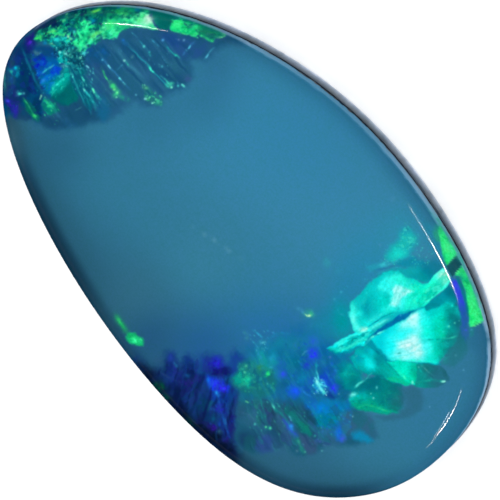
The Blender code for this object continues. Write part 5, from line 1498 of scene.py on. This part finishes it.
def depth_inside(places, outline):
    """Distance to a closed outline, above 0 inside it and below 0 outside."""
    nearest = np.full(len(places), np.inf)
    inside = np.zeros(len(places), bool)
    corners = np.asarray(outline, float)
    for start, end in zip(corners, np.roll(corners, -1, axis=0)):
        along = end - start
        offset = places - start
        share = np.clip(offset @ along / (along @ along), 0.0, 1.0)
        nearest = np.minimum(nearest, np.hypot(*(offset - share[:, None] * along).T))
        if start[1] != end[1]:
            crosses = (start[1] > places[:, 1]) != (end[1] > places[:, 1])
            inside ^= crosses & (places[:, 0] < start[0] + along[0] * (places[:, 1] - start[1]) / along[1])
    return np.where(inside, nearest, -nearest)


def path_distance(places, path):
    """Distance to an open path, and how far along it the nearest point is, from 0 to 1."""
    nearest = np.full(len(places), np.inf)
    progress = np.zeros(len(places))
    corners = np.asarray(path, float)
    lengths = np.hypot(*np.diff(corners, axis=0).T)
    travelled = 0.0
    for start, end, length in zip(corners, corners[1:], lengths):
        along = end - start
        offset = places - start
        share = np.clip(offset @ along / (along @ along), 0.0, 1.0)
        distance = np.hypot(*(offset - share[:, None] * along).T)
        closer = distance < nearest
        nearest = np.where(closer, distance, nearest)
        progress = np.where(closer, (travelled + share * length) / lengths.sum(), progress)
        travelled += length
    return nearest, progress


def turned(places, angle):
    """How far places lie along a direction, given as an angle in degrees, and to the side of it."""
    turn = math.radians(angle)
    return places @ (math.cos(turn), math.sin(turn)), places @ (-math.sin(turn), math.cos(turn))


def glow_at(places, centre, radius, stretch=1.0, angle=0.0):
    """Strength of a soft glow, longer by stretch along the angle: 1 at its centre, and less outwards."""
    along, side = turned(places - np.asarray(centre, float), angle)
    return np.exp(-((along / stretch) ** 2 + side**2) / radius**2)


def within(places, outline, soft):
    """1 inside an outline and 0 outside, with a soft edge."""
    return ramp(depth_inside(places, outline), -soft / 2, soft / 2)


def in_the_fire(places):
    found = np.zeros(len(places), bool)
    for outline in FIRE_AREAS:
        found |= depth_inside(places, outline) > 0
    return found


def ripple(places):
    """How far what is painted is bent at each place, to the right and down."""
    bends = []
    for seed, fine_seed in RIPPLE_SEEDS:
        fine = noise(places, RIPPLE_SIZES[1], fine_seed) - 0.5
        bends.append(noise(places, RIPPLE_SIZES[0], seed) - 0.5 + RIPPLE_FINE_SHARE * fine)
    return RIPPLE_REACH * np.column_stack(bends)


class Painting:
    """The opal's colour at a set of places, laid on in soft-edged layers.
    Share is how far a layer covers what is under it, and rough how far the ripple bends it. Stretch is how
    much longer its marks are along their angle, which is in degrees."""

    def __init__(self, places, ground):
        self.places = places
        self.colour = ground
        self.ripple = ripple(places)
        self.order = np.argsort(places[:, 0])
        self.across = places[self.order, 0]

    def near(self, points, margin):
        """The places in the box round these points, made larger by a margin."""
        low = np.min(points, axis=0) - margin
        high = np.max(points, axis=0) + margin
        first, last = np.searchsorted(self.across, (low[0], high[0]))
        column = self.order[first:last]
        down = self.places[column, 1]
        return column[(down > low[1]) & (down < high[1])]

    def bent(self, chosen, rough=1.0):
        """The chosen places, moved by the ripple."""
        return self.places[chosen] + self.ripple[chosen] * rough

    def cover(self, chosen, colour, share):
        self.colour[chosen] = blend(self.colour[chosen], colour, np.clip(share, 0.0, 1.0))

    def mixing(self, chosen, from_to, mottle, size, seed):
        """How far a patch is from its one colour to the other, by noise or from one point to another."""
        places = self.places[chosen]
        cloud = rough_noise(places, size, seed)
        if from_to is None:
            return ramp(cloud, *NOISE_RISE)
        start, end = np.asarray(from_to, float)
        along = end - start
        share = ramp((places - start) @ along / (along @ along), 0.0, 1.0)
        return np.clip(share + mottle * (cloud - 0.5), 0.0, 1.0)

    def striped(self, chosen, from_to, stripes, width, seed):
        """The light of fine stripes that run from one point to another."""
        start, end = np.asarray(from_to, float)
        along = (end - start) / np.hypot(*(end - start))
        side = (self.places[chosen] - start) @ np.array([-along[1], along[0]])
        line = np.column_stack([side + self.ripple[chosen, 0] * STRIPE_BEND, side * 0])
        return 1 + stripes * (noise(line, width, seed + STRIPE_SEED) - 0.5)

    def patch(self, outline, soft, colour, other=None, share=1.0, rough=1.0, mottle=0.0, size=5, seed=1,
              from_to=None, stripes=0.0, stripe_width=3.0, grain=None, glows=()):
        """A patch whose edge breaks into grains, shading from one colour to the other.
        Each glow is x, y, radius and colour, then if it's long its stretch and angle."""
        chosen = self.near(outline, PATCH_MARGIN + SOFT_REACH * soft)
        places = self.places[chosen]
        bent = self.bent(chosen, rough)
        if grain is None:
            grain = min(EDGE_GRAIN * soft, MOST_EDGE_GRAIN)
        depth = depth_inside(bent, outline)
        for index, width in enumerate(EDGE_GRAIN_SIZES):
            depth += grain * (noise(places, width, seed + EDGE_GRAIN_SEED + index) - 0.5)
        mixing = self.mixing(chosen, from_to, mottle, size, seed)
        painted = blend(tone(colour), tone(other or colour), mixing)
        for x, y, radius, tint, *shape in glows:
            painted = blend(painted, tone(tint), glow_at(bent, (x, y), radius, *shape))
        if mottle:
            cloud = rough_noise(places, size, seed + MOTTLE_SEED) - 0.5
            painted = painted * (1 + mottle * cloud * MOTTLE_SHARE)[:, None]
        if stripes:
            painted = painted * self.striped(chosen, from_to, stripes, stripe_width, seed)[:, None]
        self.cover(chosen, painted, share * ramp(depth, -soft / 2, soft / 2))

    def streak(self, path, width, soft, colour, share=1.0, ends=(0.3, 0.3), broken=0.65, rough=0.5):
        """A fine soft line that fades at its ends and is beaded along its length."""
        chosen = self.near(path, STREAK_MARGIN + 2 * width)
        distance, progress = path_distance(self.bent(chosen, rough), path)
        strength = share * np.exp(-((distance / (width / 2 + STREAK_SOFTENING * soft)) ** 2))
        for travelled, fade in ((progress, ends[0]), (1 - progress, ends[1])):
            if fade:
                strength = strength * ramp(travelled, PAST_THE_END, fade)
        beads = ramp(noise(self.places[chosen], BEAD_SIZE, BEAD_SEED), *NOISE_RISE)
        self.cover(chosen, tone(colour), strength * (1 - broken * beads))

    def spot(self, centre, radius, colour, share=1.0, stretch=1.0, angle=0.0, rough=1.1, broken=0.5):
        """A soft spot, broken up by fine grain."""
        chosen = self.near([centre], SPOT_REACH * radius * max(stretch, 1.0) + SPOT_MARGIN)
        grain = ramp(noise(self.places[chosen], SPOT_GRAIN_SIZE, SPOT_GRAIN_SEED), *SPOT_GRAIN_RISE)
        glow = glow_at(self.bent(chosen, rough), centre, radius, stretch, angle)
        self.cover(chosen, tone(colour), share * (1 - broken * grain) * glow)

    def dust(self, outline, palette, count, radius, share, clump, seed, stretch=1.0, angle=0.0):
        """Tiny dots of mixed colours scattered over a patch, in clumps of about this size."""
        random = np.random.default_rng(seed)
        centres = random.uniform(np.min(outline, axis=0), np.max(outline, axis=0), (count, 2))
        chance = ramp(depth_inside(centres, outline), *DUST_EDGE)
        chance = chance * ramp(noise(centres, clump, seed), *DUST_CLUMP_RISE)
        for centre in centres[random.random(count) < chance]:
            colour = palette[random.integers(len(palette))]
            size = radius * random.uniform(*DUST_SIZES)
            turn = angle + random.normal(0.0, DUST_TURN)
            self.spot(centre, size, colour, share * random.uniform(*DUST_SHARES), stretch, turn, 0.0, 0.0)

    def mosaic(self, outline, palette, spacing, share, keep, seed, stretch=1.0, angle=0.0, soft=3.0):
        """Small cells of mixed colours over a patch, of which this share is kept."""
        chosen = self.near(outline, TEXTURE_MARGIN + soft)
        places = self.bent(chosen)
        along, side = turned(places, angle)
        nearest, picked = nearest_cell(np.column_stack([along / stretch, side]) / spacing, seed)
        choice = np.minimum((picked / keep * len(palette)).astype(int), len(palette) - 1)
        light = 1 + CELL_LIGHT * (rough_noise(places, CELL_LIGHT_SIZE, seed + 3) - 0.5)
        border = 1 - CELL_BORDER * ramp(nearest, *CELL_BORDER_RISE)
        strength = share * (picked < keep) * within(places, outline, soft) * border
        self.cover(chosen, tone(palette)[choice] * light[:, None], strength)

    def strands(self, outline, colour, angle, width, length, share, soft=5.0, seed=9, start=0.5):
        """Fine threads along one direction over a patch. They show where their noise is above the start."""
        chosen = self.near(outline, TEXTURE_MARGIN + soft)
        places = self.bent(chosen)
        along, side = turned(places, angle)
        threads = noise(np.column_stack([along * width / length, side]), width, seed)
        strength = share * within(places, outline, soft) * ramp(threads, start, FULL_STRAND)
        self.cover(chosen, tone(colour), strength)


def nearest_cell(places, seed):
    """Distance to the nearest point of a jumbled grid, and that point's own number from 0 to 1."""
    cell = np.floor(places).astype(np.int64)
    nearest = np.full(len(places), np.inf)
    picked = np.zeros(len(places))
    for right in (-1, 0, 1):
        for down in (-1, 0, 1):
            column = cell[:, 0] + right
            row = cell[:, 1] + down
            centre_x = column + scattered(column, row, seed)
            centre_y = row + scattered(column, row, seed + 1)
            distance = np.hypot(places[:, 0] - centre_x, places[:, 1] - centre_y)
            closer = distance < nearest
            nearest = np.where(closer, distance, nearest)
            picked = np.where(closer, scattered(column, row, seed + 2), picked)
    return nearest, picked


def paint_area(painting, patches, textures, streaks, spots, sparks):
    """Lays one area's tables on the painting. A texture's kind is the method that paints it."""
    for outline, soft, colour, finish in patches.values():
        painting.patch(outline, soft, colour, **finish)
    for kind, outline, colours, finish in textures.values():
        getattr(painting, kind)(outline, colours, **finish)
    for path, width, soft, colour, finish in streaks.values():
        painting.streak(path, width, soft, colour, **finish)
    for centre, radius, colour, finish in spots.values():
        painting.spot(centre, radius, colour, **finish)
    for centre, radius, colour, finish in sparks.values():
        painting.spot(centre, radius, colour, **finish, **SPARK_FINISH)


def opal_ground(places, depth):
    """The plain blue body with painted light and shade: brightest to the upper right, deeper towards both
    ends, and painted shade along the lower left edge and on the shoulder.
    """
    across = (places - PHOTO_MIDDLE) @ CROSSWAYS
    along = np.abs((places - PHOTO_MIDDLE) @ LENGTHWAYS)
    # Painted light and shade: the body is lighter to the right and darker to the left
    left, middle, right = (tone(colour) for colour in BODY_SHADED_COLOURS)
    ground = blend(left, middle, ramp(across, *LEFT_TO_MIDDLE))
    ground = blend(ground, right, ramp(across, *MIDDLE_TO_RIGHT))
    end = ramp(along, *TOWARDS_AN_END) * ramp(across, *UPPER_RIGHT)
    ground = blend(ground, tone(BODY_END_COLOUR), END_SHARE * end)
    # Painted shade along the lower left side and its rim
    lower_left = ramp(across, *LOWER_LEFT)
    side = lower_left * (1 - ramp(depth, *SIDE_DEPTHS))
    ground = blend(ground, tone(BODY_SIDE_SHADE), SIDE_SHARE * side)
    ground = blend(ground, tone(BODY_RIM_SHADE), lower_left * (1 - ramp(depth, *RIM_DEPTHS)))
    # Painted shade on the shoulder round the other sides
    shoulder = (1 - lower_left) * (1 - ramp(depth, *SHOULDER_DEPTHS)) * ramp(depth, *OUTER_DEPTHS)
    return blend(ground, tone(BODY_SHOULDER_SHADE), SHOULDER_SHARE * shoulder)


def stepped(colours, share):
    """The light at each share from 0 to 1 of the way through these colours."""
    steps = np.linspace(0.0, 1.0, len(colours))
    table = np.array([linear(colour) for colour in colours])
    share = np.clip(share, 0.0, 1.0)
    return np.column_stack([np.interp(share, steps, table[:, channel]) for channel in range(3)])


def smeared(places, height, sizes, seed, rise):
    """How high the cement is smeared up a wall at each place."""
    coarse = noise(places, sizes[0], seed) * COARSE_SMEAR_SHARE
    fine = noise(places, sizes[1], seed + 1) * (1 - COARSE_SMEAR_SHARE)
    return height * ramp(coarse + fine, *rise)


def wall_share(points):
    """How far up the opal's wall each point lies, from 0 at the joint to 1 at the shoulder."""
    return (points[:, 2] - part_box("opal_cap")[0].z) / OPAL_EDGE_HEIGHT


def paint_wall_reflection(points, places, ground):
    """The opal's wall, dark with cement along its foot, and above that painted as pale as the sheet that it
    mirrors: a painted reflection.
    """
    share = wall_share(points) - smeared(places, *OPAL_SMEAR)
    # Painted reflection of the sheet on the wall, on the upper right side only
    wall = stepped(WALL_REFLECTION_COLOURS, share) * STUDIO_LIGHT / OPAL_WALL_LIGHT
    across = (places - PHOTO_MIDDLE) @ CROSSWAYS
    return blend(ground, encoded(wall), ramp(across, *UPPER_RIGHT) * (1 - ramp(share, *WALL_TOP)))


def paint_opal(points, outline):
    """Colours of the opal, with its painted light, shade and reflections, and its polish, which is dull by
    the edge, where no polishing cloth reaches.
    """
    places = photo_pixels(points)
    depth = depth_inside(places, outline)
    plain = paint_wall_reflection(points, places, opal_ground(places, depth))
    painting = Painting(places, plain.copy())
    # The hazes, partly painted light and shade over the body
    for centre, radius, colour, share, *shape in HAZES_AND_PAINTED_LIGHT.values():
        painting.spot(centre, radius, colour, share, *shape, broken=0)
    for area in AREAS:
        paint_area(painting, *area)
    # The painted reflection on the wall shows through the fire along the top
    on_top = places[:, 0] < PHOTO_MIDDLE
    pale = WALL_OVER_FIRE * (1 - ramp(wall_share(points), *WALL_OVER_FIRE_SHARES)) * on_top
    fire = blend(painting.colour, plain, pale)
    # Painted light: the fire is painted stronger by the rim
    painted_rim_light = RIM_FIRE * (1 - ramp(depth, *RIM_FIRE_DEPTHS))
    fire += np.clip(fire - plain, 0.0, None) * painted_rim_light[:, None]
    light = linear(255 * np.clip(fire, 0.0, 1.0))
    return np.clip(light - STUDIO_GLOSS, 0.0, None) / STUDIO_LIGHT, FULL_POLISH * ramp(depth, *DULL_EDGE)


# The stone's outline and dome

def smooth_closed_curve(controls, steps):
    """Points of the closed uniform cubic B-spline of these control points."""
    t = np.linspace(0.0, 1.0, steps, endpoint=False)[:, None]
    spans = []
    for index in range(len(controls)):
        before, start, end, after = (controls[(index + offset) % len(controls)] for offset in (-1, 0, 1, 2))
        spans.append(
            (
                before * (1 - t) ** 3
                + start * (3 * t**3 - 6 * t**2 + 4)
                + end * (-3 * t**3 + 3 * t**2 + 3 * t + 1)
                + after * t**3
            )
            / 6
        )
    return np.vstack(spans)


def evenly_spaced(points, count):
    """The closed line through these points, divided into equal steps."""
    closed = np.vstack([points, points[:1]])
    steps = np.hypot(*np.diff(closed, axis=0).T)
    travelled = np.concatenate([[0.0], np.cumsum(steps)])
    wanted = np.linspace(0.0, travelled[-1], count, endpoint=False)
    return np.column_stack([np.interp(wanted, travelled, closed[:, axis]) for axis in (0, 1)])


def stone_edge(count=EDGE_POINTS):
    controls = np.array(EDGE_CONTROLS_MM) * MM * EDGE_SHARE
    return evenly_spaced(smooth_closed_curve(controls, CURVE_STEPS), count)


def inset(outline, amount):
    """The outline moved inwards by an amount, which may differ from point to point."""
    along = np.roll(outline, -1, axis=0) - np.roll(outline, 1, axis=0)
    inwards = np.column_stack([-along[:, 1], along[:, 0]]) / np.hypot(*along.T)[:, None]
    return outline + inwards * np.broadcast_to(amount, len(outline))[:, None]


def at_height(outline, height):
    return np.column_stack([outline, np.full(len(outline), height)])


def chips(edge, deepest, seed):
    """How far each point of an arris is worn back, with a few deeper chips."""
    fine = noise(edge / MM, FINE_WEAR_MM, seed)
    rare = ramp(noise(edge / MM, RARE_CHIP_MM, seed + 1), *RARE_CHIP_RISE) * ramp(fine, *NOISE_RISE)
    return deepest * (FINE_WEAR_SHARE * fine + (1 - FINE_WEAR_SHARE) * rare)


def side_faces(count, levels):
    """Faces between stacked rings of this many points each, and the face that closes the lowest."""
    faces = [tuple(reversed(range(count)))]
    for start in range(0, (levels - 1) * count, count):
        above = start + count
        for index in range(count):
            following = (index + 1) % count
            faces.append((start + index, start + following, above + following, above + index))
    return faces


def edge_reach(edge, reach):
    """How far the edge lies from the dome's centre, in the direction of each of these offsets from it."""
    towards_edge = edge - DOME_CENTRE
    angles = np.arctan2(towards_edge[:, 1], towards_edge[:, 0])
    order = np.argsort(angles)
    directions = np.arctan2(reach[:, 1], reach[:, 0])
    return np.interp(directions, angles[order], np.hypot(*towards_edge.T)[order], period=2 * math.pi)


def shoulder_height():
    """The height at which the opal's wall meets its dome."""
    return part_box("opal_cap")[0].z + OPAL_EDGE_HEIGHT


def dome_rise():
    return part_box("opal_cap")[1].z - shoulder_height()


def roundness_at(limit):
    """The dome is flatter along the middle, where its edge is further from its centre."""
    return DOME_ROUNDNESS * limit / DOME_SIDE_RADIUS


def dome_height(edge, places):
    """Height above the shoulder at places inside the edge."""
    reach = places - DOME_CENTRE
    limit = edge_reach(edge, reach)
    share = np.clip(np.hypot(*reach.T) / limit, 0.0, 1.0)
    return dome_rise() * np.sqrt(1.0 - share ** roundness_at(limit))


def shoulder_ring(edge, angle):
    """The dome's outline at an angle, from 0 at the edge to a right angle at the top."""
    reach = edge - DOME_CENTRE
    share = math.cos(angle) ** (2 / roundness_at(np.hypot(*reach.T)))
    return DOME_CENTRE + reach * share[:, None]


def lattice(edge):
    """Points in a triangular pattern inside the edge, and which of them also make a wider pattern."""
    low = edge.min(axis=0)
    high = edge.max(axis=0)
    across = np.arange(low[0], high[0], FINE_SPACING)
    columns = np.arange(len(across))
    points = []
    wide = []
    for row, y in enumerate(np.arange(low[1], high[1], FINE_SPACING * math.sqrt(3) / 2)):
        shift = FINE_SPACING / 2 if row % 2 else 0.0
        points.append(np.column_stack([across + shift, np.full(len(across), y)]))
        wide.append((row % WIDE_STEP == 0) & (columns % WIDE_STEP == row // WIDE_STEP % 2))
    points = np.vstack(points)
    reach = points - DOME_CENTRE
    inside = np.hypot(*reach.T) < edge_reach(edge, reach) - FINE_SPACING * EDGE_CLEARANCE
    return points[inside], np.concatenate(wide)[inside]


def opal_rings():
    """The rings of the opal's wall and of its rounded shoulder, from the joint upwards."""
    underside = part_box("opal_cap")[0].z
    shoulder = shoulder_height()
    edge = stone_edge()
    rings = [at_height(inset(edge, chips(edge, OPAL_CHIP, OPAL_CHIP_SEED)), underside)]
    for height in np.linspace(underside + CHIP_HEIGHT, shoulder, OPAL_WALL_STEPS, endpoint=False):
        rings.append(at_height(edge, height))
    for angle in SHOULDER_ANGLES:
        rings.append(at_height(shoulder_ring(edge, angle), shoulder + dome_rise() * math.sin(angle)))
    return rings


def opal_top(ring):
    """Points inside the uppermost ring, finer in the fire, and the triangles between the ring and them."""
    inner, wide = lattice(ring)
    inner = np.column_stack([inner, shoulder_height() + dome_height(stone_edge(), inner)])
    inner = inner[wide | in_the_fire(photo_pixels(inner))]
    flat = [Vector(place) for place in np.vstack([ring, inner[:, :2]])]
    rim = [(index, (index + 1) % len(ring)) for index in range(len(ring))]
    return inner, geometry.delaunay_2d_cdt(flat, rim, [], 1, 0.0)[2]


def opal_surface():
    """Points and faces of the opal: wall, rounded shoulder, and a triangulated top."""
    rings = opal_rings()
    faces = side_faces(EDGE_POINTS, len(rings))
    inner, triangles = opal_top(rings[-1][:, :2])
    offset = (len(rings) - 1) * EDGE_POINTS
    faces.extend(tuple(offset + corner for corner in triangle) for triangle in triangles)
    return np.vstack([*rings, inner]), faces


def dome_normals(edge, places):
    """Unit normals of the dome at places inside the edge, from its slope over a small step."""
    slopes = []
    for step in ((SLOPE_STEP, 0.0), (0.0, SLOPE_STEP)):
        slopes.append(dome_height(edge, places + step) - dome_height(edge, places - step))
    normals = np.column_stack([-slopes[0], -slopes[1], np.full(len(places), 2 * SLOPE_STEP)])
    return normals / np.linalg.norm(normals, axis=1)[:, None]


def shade_as_dome(mesh, points):
    """Gives the top of the opal the dome's own normals, so that its reflections don't show the triangles."""
    corners = np.empty(len(mesh.loops), int)
    mesh.loops.foreach_get("vertex_index", corners)
    normals = np.array([tuple(normal.vector) for normal in mesh.corner_normals])
    top = np.flatnonzero(points[:, 2] > shoulder_height() + NORMALS_FROM * dome_rise())
    smooth = np.zeros((len(points), 3))
    smooth[top] = dome_normals(stone_edge(), points[top, :2])
    chosen = np.isin(corners, top)
    normals[chosen] = smooth[corners[chosen]]
    mesh.normals_split_custom_set(normals.tolist())


# Materials

def new_material(name):
    material = bpy.data.materials.new(name)
    material.use_nodes = True
    tree = material.node_tree
    return material, tree.nodes, tree.links, tree.nodes["Principled BSDF"]


def add_noise(nodes, links, scale, detail):
    """A noise texture fixed to the piece. Its scale is the number of features in a metre."""
    place = nodes.new("ShaderNodeTexCoord")
    texture = nodes.new("ShaderNodeTexNoise")
    texture.inputs["Scale"].default_value = scale
    texture.inputs["Detail"].default_value = detail
    texture.inputs["Roughness"].default_value = NOISE_ROUGHNESS
    links.new(place.outputs["Object"], texture.inputs["Vector"])
    return texture.outputs["Fac"]


def add_range(nodes, links, source, low, high):
    """Spreads a noise around its middle over the range from low to high."""
    spread = nodes.new("ShaderNodeMapRange")
    spread.inputs["From Min"].default_value = NOISE_RISE[0]
    spread.inputs["From Max"].default_value = NOISE_RISE[1]
    spread.inputs["To Min"].default_value = low
    spread.inputs["To Max"].default_value = high
    links.new(source, spread.inputs["Value"])
    return spread.outputs["Result"]


def add_speckle(nodes, links, colour, speckle):
    """The colour with its light and its hue varied by noises."""
    for scale, lights, hues in speckle:
        source = add_noise(nodes, links, scale, SPECKLE_DETAIL)
        shift = nodes.new("ShaderNodeHueSaturation")
        links.new(add_range(nodes, links, source, *lights), shift.inputs["Value"])
        links.new(add_range(nodes, links, source, *hues), shift.inputs["Hue"])
        links.new(colour, shift.inputs["Color"])
        colour = shift.outputs["Color"]
    return colour


def painted_material(name, attribute, speckle, roughness, ior):
    """A material with the piece's painted colour, speckled by noise, and a polish that varies a little."""
    material, nodes, links, shader = new_material(name)
    painted = nodes.new("ShaderNodeAttribute")
    painted.attribute_name = attribute
    links.new(add_speckle(nodes, links, painted.outputs["Color"], speckle), shader.inputs["Base Color"])
    polish = add_noise(nodes, links, POLISH_SCALE, POLISH_DETAIL)
    links.new(add_range(nodes, links, polish, *roughness), shader.inputs["Roughness"])
    shader.inputs["IOR"].default_value = ior
    return material, nodes, links, shader


def opal_material():
    material, nodes, links, shader = painted_material(
        "precious_opal", "opal_colour", OPAL_SPECKLE, OPAL_ROUGHNESS, OPAL_IOR
    )
    polish = nodes.new("ShaderNodeAttribute")
    polish.attribute_name = "opal_polish"
    links.new(polish.outputs["Fac"], shader.inputs["Specular IOR Level"])
    return material


def potch_material():
    """Dark potch with the scratches of its grinding and a satin polish."""
    material, nodes, links, shader = painted_material(
        "dark_potch", "potch_colour", POTCH_SPECKLE, POTCH_ROUGHNESS, POTCH_IOR
    )
    place = nodes.new("ShaderNodeTexCoord")
    scratches = nodes.new("ShaderNodeTexWave")
    scratches.inputs["Scale"].default_value = SCRATCH_SCALE
    scratches.inputs["Distortion"].default_value = SCRATCH_WAVER
    scratches.inputs["Detail"].default_value = SCRATCH_DETAIL
    bump = nodes.new("ShaderNodeBump")
    bump.inputs["Strength"].default_value = SCRATCH_STRENGTH
    bump.inputs["Distance"].default_value = SCRATCH_DEPTH
    links.new(place.outputs["Object"], scratches.inputs["Vector"])
    links.new(scratches.outputs["Fac"], bump.inputs["Height"])
    links.new(bump.outputs["Normal"], shader.inputs["Normal"])
    return material


def plain_material(name, shades_between, scale, roughness):
    """A material between two shades, mixed by noise."""
    material, nodes, links, shader = new_material(name)
    source = add_noise(nodes, links, scale, POLISH_DETAIL)
    shades = nodes.new("ShaderNodeValToRGB")
    for stop, place, shade in zip(shades.color_ramp.elements, SHADE_STOPS, shades_between):
        stop.position = place
        stop.color = (*shade, 1.0)
    links.new(source, shades.inputs["Fac"])
    links.new(shades.outputs["Color"], shader.inputs["Base Color"])
    links.new(add_range(nodes, links, source, *roughness), shader.inputs["Roughness"])
    shader.inputs["IOR"].default_value = PLAIN_IOR
    return material


# The pieces

def new_piece(name, points, faces, node):
    mesh = bpy.data.meshes.new(name)
    mesh.from_pydata(points.tolist(), [], faces)
    mesh.shade_smooth()
    mesh.set_sharp_from_angle(angle=SHARP_ANGLE)
    piece = bpy.data.objects.new(name, mesh)
    bpy.context.scene.collection.objects.link(piece)
    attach(piece, "root")
    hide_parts(node)
    return piece


def set_colours(piece, name, colours):
    attribute = piece.data.attributes.new(name, "FLOAT_COLOR", "POINT")
    attribute.data.foreach_set("color", np.column_stack([colours, np.ones(len(colours))]).ravel())


def add_opal():
    points, faces = opal_surface()
    opal = new_piece("opal_cap_polished", points, faces, "opal_cap")
    outline = photo_pixels(at_height(stone_edge(OUTLINE_POINTS), shoulder_height()))
    colours, polish = paint_opal(points, outline)
    set_colours(opal, "opal_colour", colours)
    opal.data.attributes.new("opal_polish", "FLOAT", "POINT").data.foreach_set("value", polish)
    shade_as_dome(opal.data, points)
    opal.data.materials.append(opal_material())


def prism(outline, levels):
    """Points and faces of a solid with this outline at each height, moved inwards by each amount."""
    points = np.vstack([at_height(inset(outline, amount), height) for height, amount in levels])
    top = range(len(points) - len(outline), len(points))
    return points, side_faces(len(outline), len(levels)) + [tuple(top)]


def paint_backing(points):
    """Colours of the backing: dark with cement by the joint, then a painted reflection of the pale sheet that
    grows paler down to the foot, and dark underneath.
    """
    low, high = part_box("backing")
    share = (high.z - points[:, 2]) / (high.z - low.z)
    share = share - smeared(points[:, :2] / MM, *BACKING_SMEAR)
    # Painted reflection: the backing's wall grows paler towards the foot
    wall = stepped(BACKING_CEMENT_AND_REFLECTION, share) / BACKING_WALL_LIGHT
    is_back = 1 - ramp(points[:, 2] - low.z, 0.0, FOOT_BEVEL / 2)
    return np.clip(blend(wall, linear(BACK_COLOUR), is_back), 0.0, PALEST_BACKING)


def add_backing():
    """The backing, with a rounded foot and a worn upper arris."""
    low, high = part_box("backing")
    edge = stone_edge()
    levels = []
    for turn in np.radians(np.linspace(0, 90, FOOT_STEPS)):
        levels.append((low.z + FOOT_BEVEL * (1 - math.cos(turn)), FOOT_BEVEL * (1 - math.sin(turn))))
    for height in np.linspace(low.z + FOOT_BEVEL, high.z - CHIP_HEIGHT, BACKING_WALL_STEPS)[1:]:
        levels.append((height, 0.0))
    levels.append((high.z, chips(edge, BACKING_CHIP, BACKING_CHIP_SEED)))
    points, faces = prism(edge, levels)
    backing = new_piece("backing_stone", points, faces, "backing")
    set_colours(backing, "potch_colour", paint_backing(points))
    backing.data.materials.append(potch_material())


def add_cement():
    """The epoxy, set back from both walls and hollow along its middle."""
    low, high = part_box("cement_layer")
    edge = stone_edge()
    middle = (low.z + high.z) / 2
    setback = EPOXY_SETBACK + chips(edge, BACKING_CHIP, EPOXY_CHIP_SEED)
    levels = [(low.z, setback), (middle, setback + EPOXY_HOLLOW), (high.z, setback)]
    points, faces = prism(edge, levels)
    cement = new_piece("epoxy_joint", points, faces, "cement_layer")
    cement.data.materials.append(plain_material("black_epoxy", EPOXY_SHADES, EPOXY_SCALE, EPOXY_ROUGHNESS))


# The studio

def add_floor():
    half = FLOOR_SIDE / 2
    corners = [(-half, -half, 0), (half, -half, 0), (half, half, 0), (-half, half, 0)]
    mesh = bpy.data.meshes.new("floor")
    mesh.from_pydata(corners, [], [(0, 1, 2, 3)])
    floor = bpy.data.objects.new("floor", mesh)
    bpy.context.scene.collection.objects.link(floor)
    floor.data.materials.append(plain_material("white_card", CARD_SHADES, CARD_SCALE, CARD_ROUGHNESS))


def direction(azimuth, elevation):
    level = math.cos(math.radians(elevation))
    turn = math.radians(azimuth)
    return Vector((math.cos(turn) * level, math.sin(turn) * level, math.sin(math.radians(elevation))))


def add_light(name, azimuth, elevation, wide, high, radiance, tilt=0.0):
    """A panel that faces the stone. Its width and height are the angles that it fills, in degrees."""
    data = bpy.data.lights.new(name, "AREA")
    data.shape = "ELLIPSE"
    data.size = 2 * PANEL_DISTANCE * math.tan(math.radians(wide / 2))
    data.size_y = 2 * PANEL_DISTANCE * math.tan(math.radians(high / 2))
    data.energy = radiance * math.pi * data.size * data.size_y * math.pi / 4
    light = bpy.data.objects.new(name, data)
    place = direction(azimuth, elevation) * PANEL_DISTANCE
    light.location = place
    facing = place.to_track_quat("Z", "Y") @ Quaternion((0.0, 0.0, 1.0), math.radians(tilt))
    light.rotation_euler = facing.to_euler()
    light.visible_camera = False
    bpy.context.scene.collection.objects.link(light)
    return light


def light_the_stone():
    """A wide panel lights the stone from above, and the polish mirrors only the strips."""
    overhead = add_light("overhead_panel", *OVERHEAD_PANEL)
    overhead.visible_glossy = False
    for name, strip in STRIPS.items():
        add_light(name, *strip).visible_diffuse = False


def add_world():
    world = bpy.data.worlds.new("studio")
    world.use_nodes = True
    background = world.node_tree.nodes["Background"]
    background.inputs["Color"].default_value = (1.0, 1.0, 1.0, 1.0)
    background.inputs["Strength"].default_value = WORLD_STRENGTH
    bpy.context.scene.world = world
    bpy.context.scene.view_settings.view_transform = "Standard"


add_camera()
add_opal()
add_cement()
add_backing()
add_floor()
light_the_stone()
add_world()
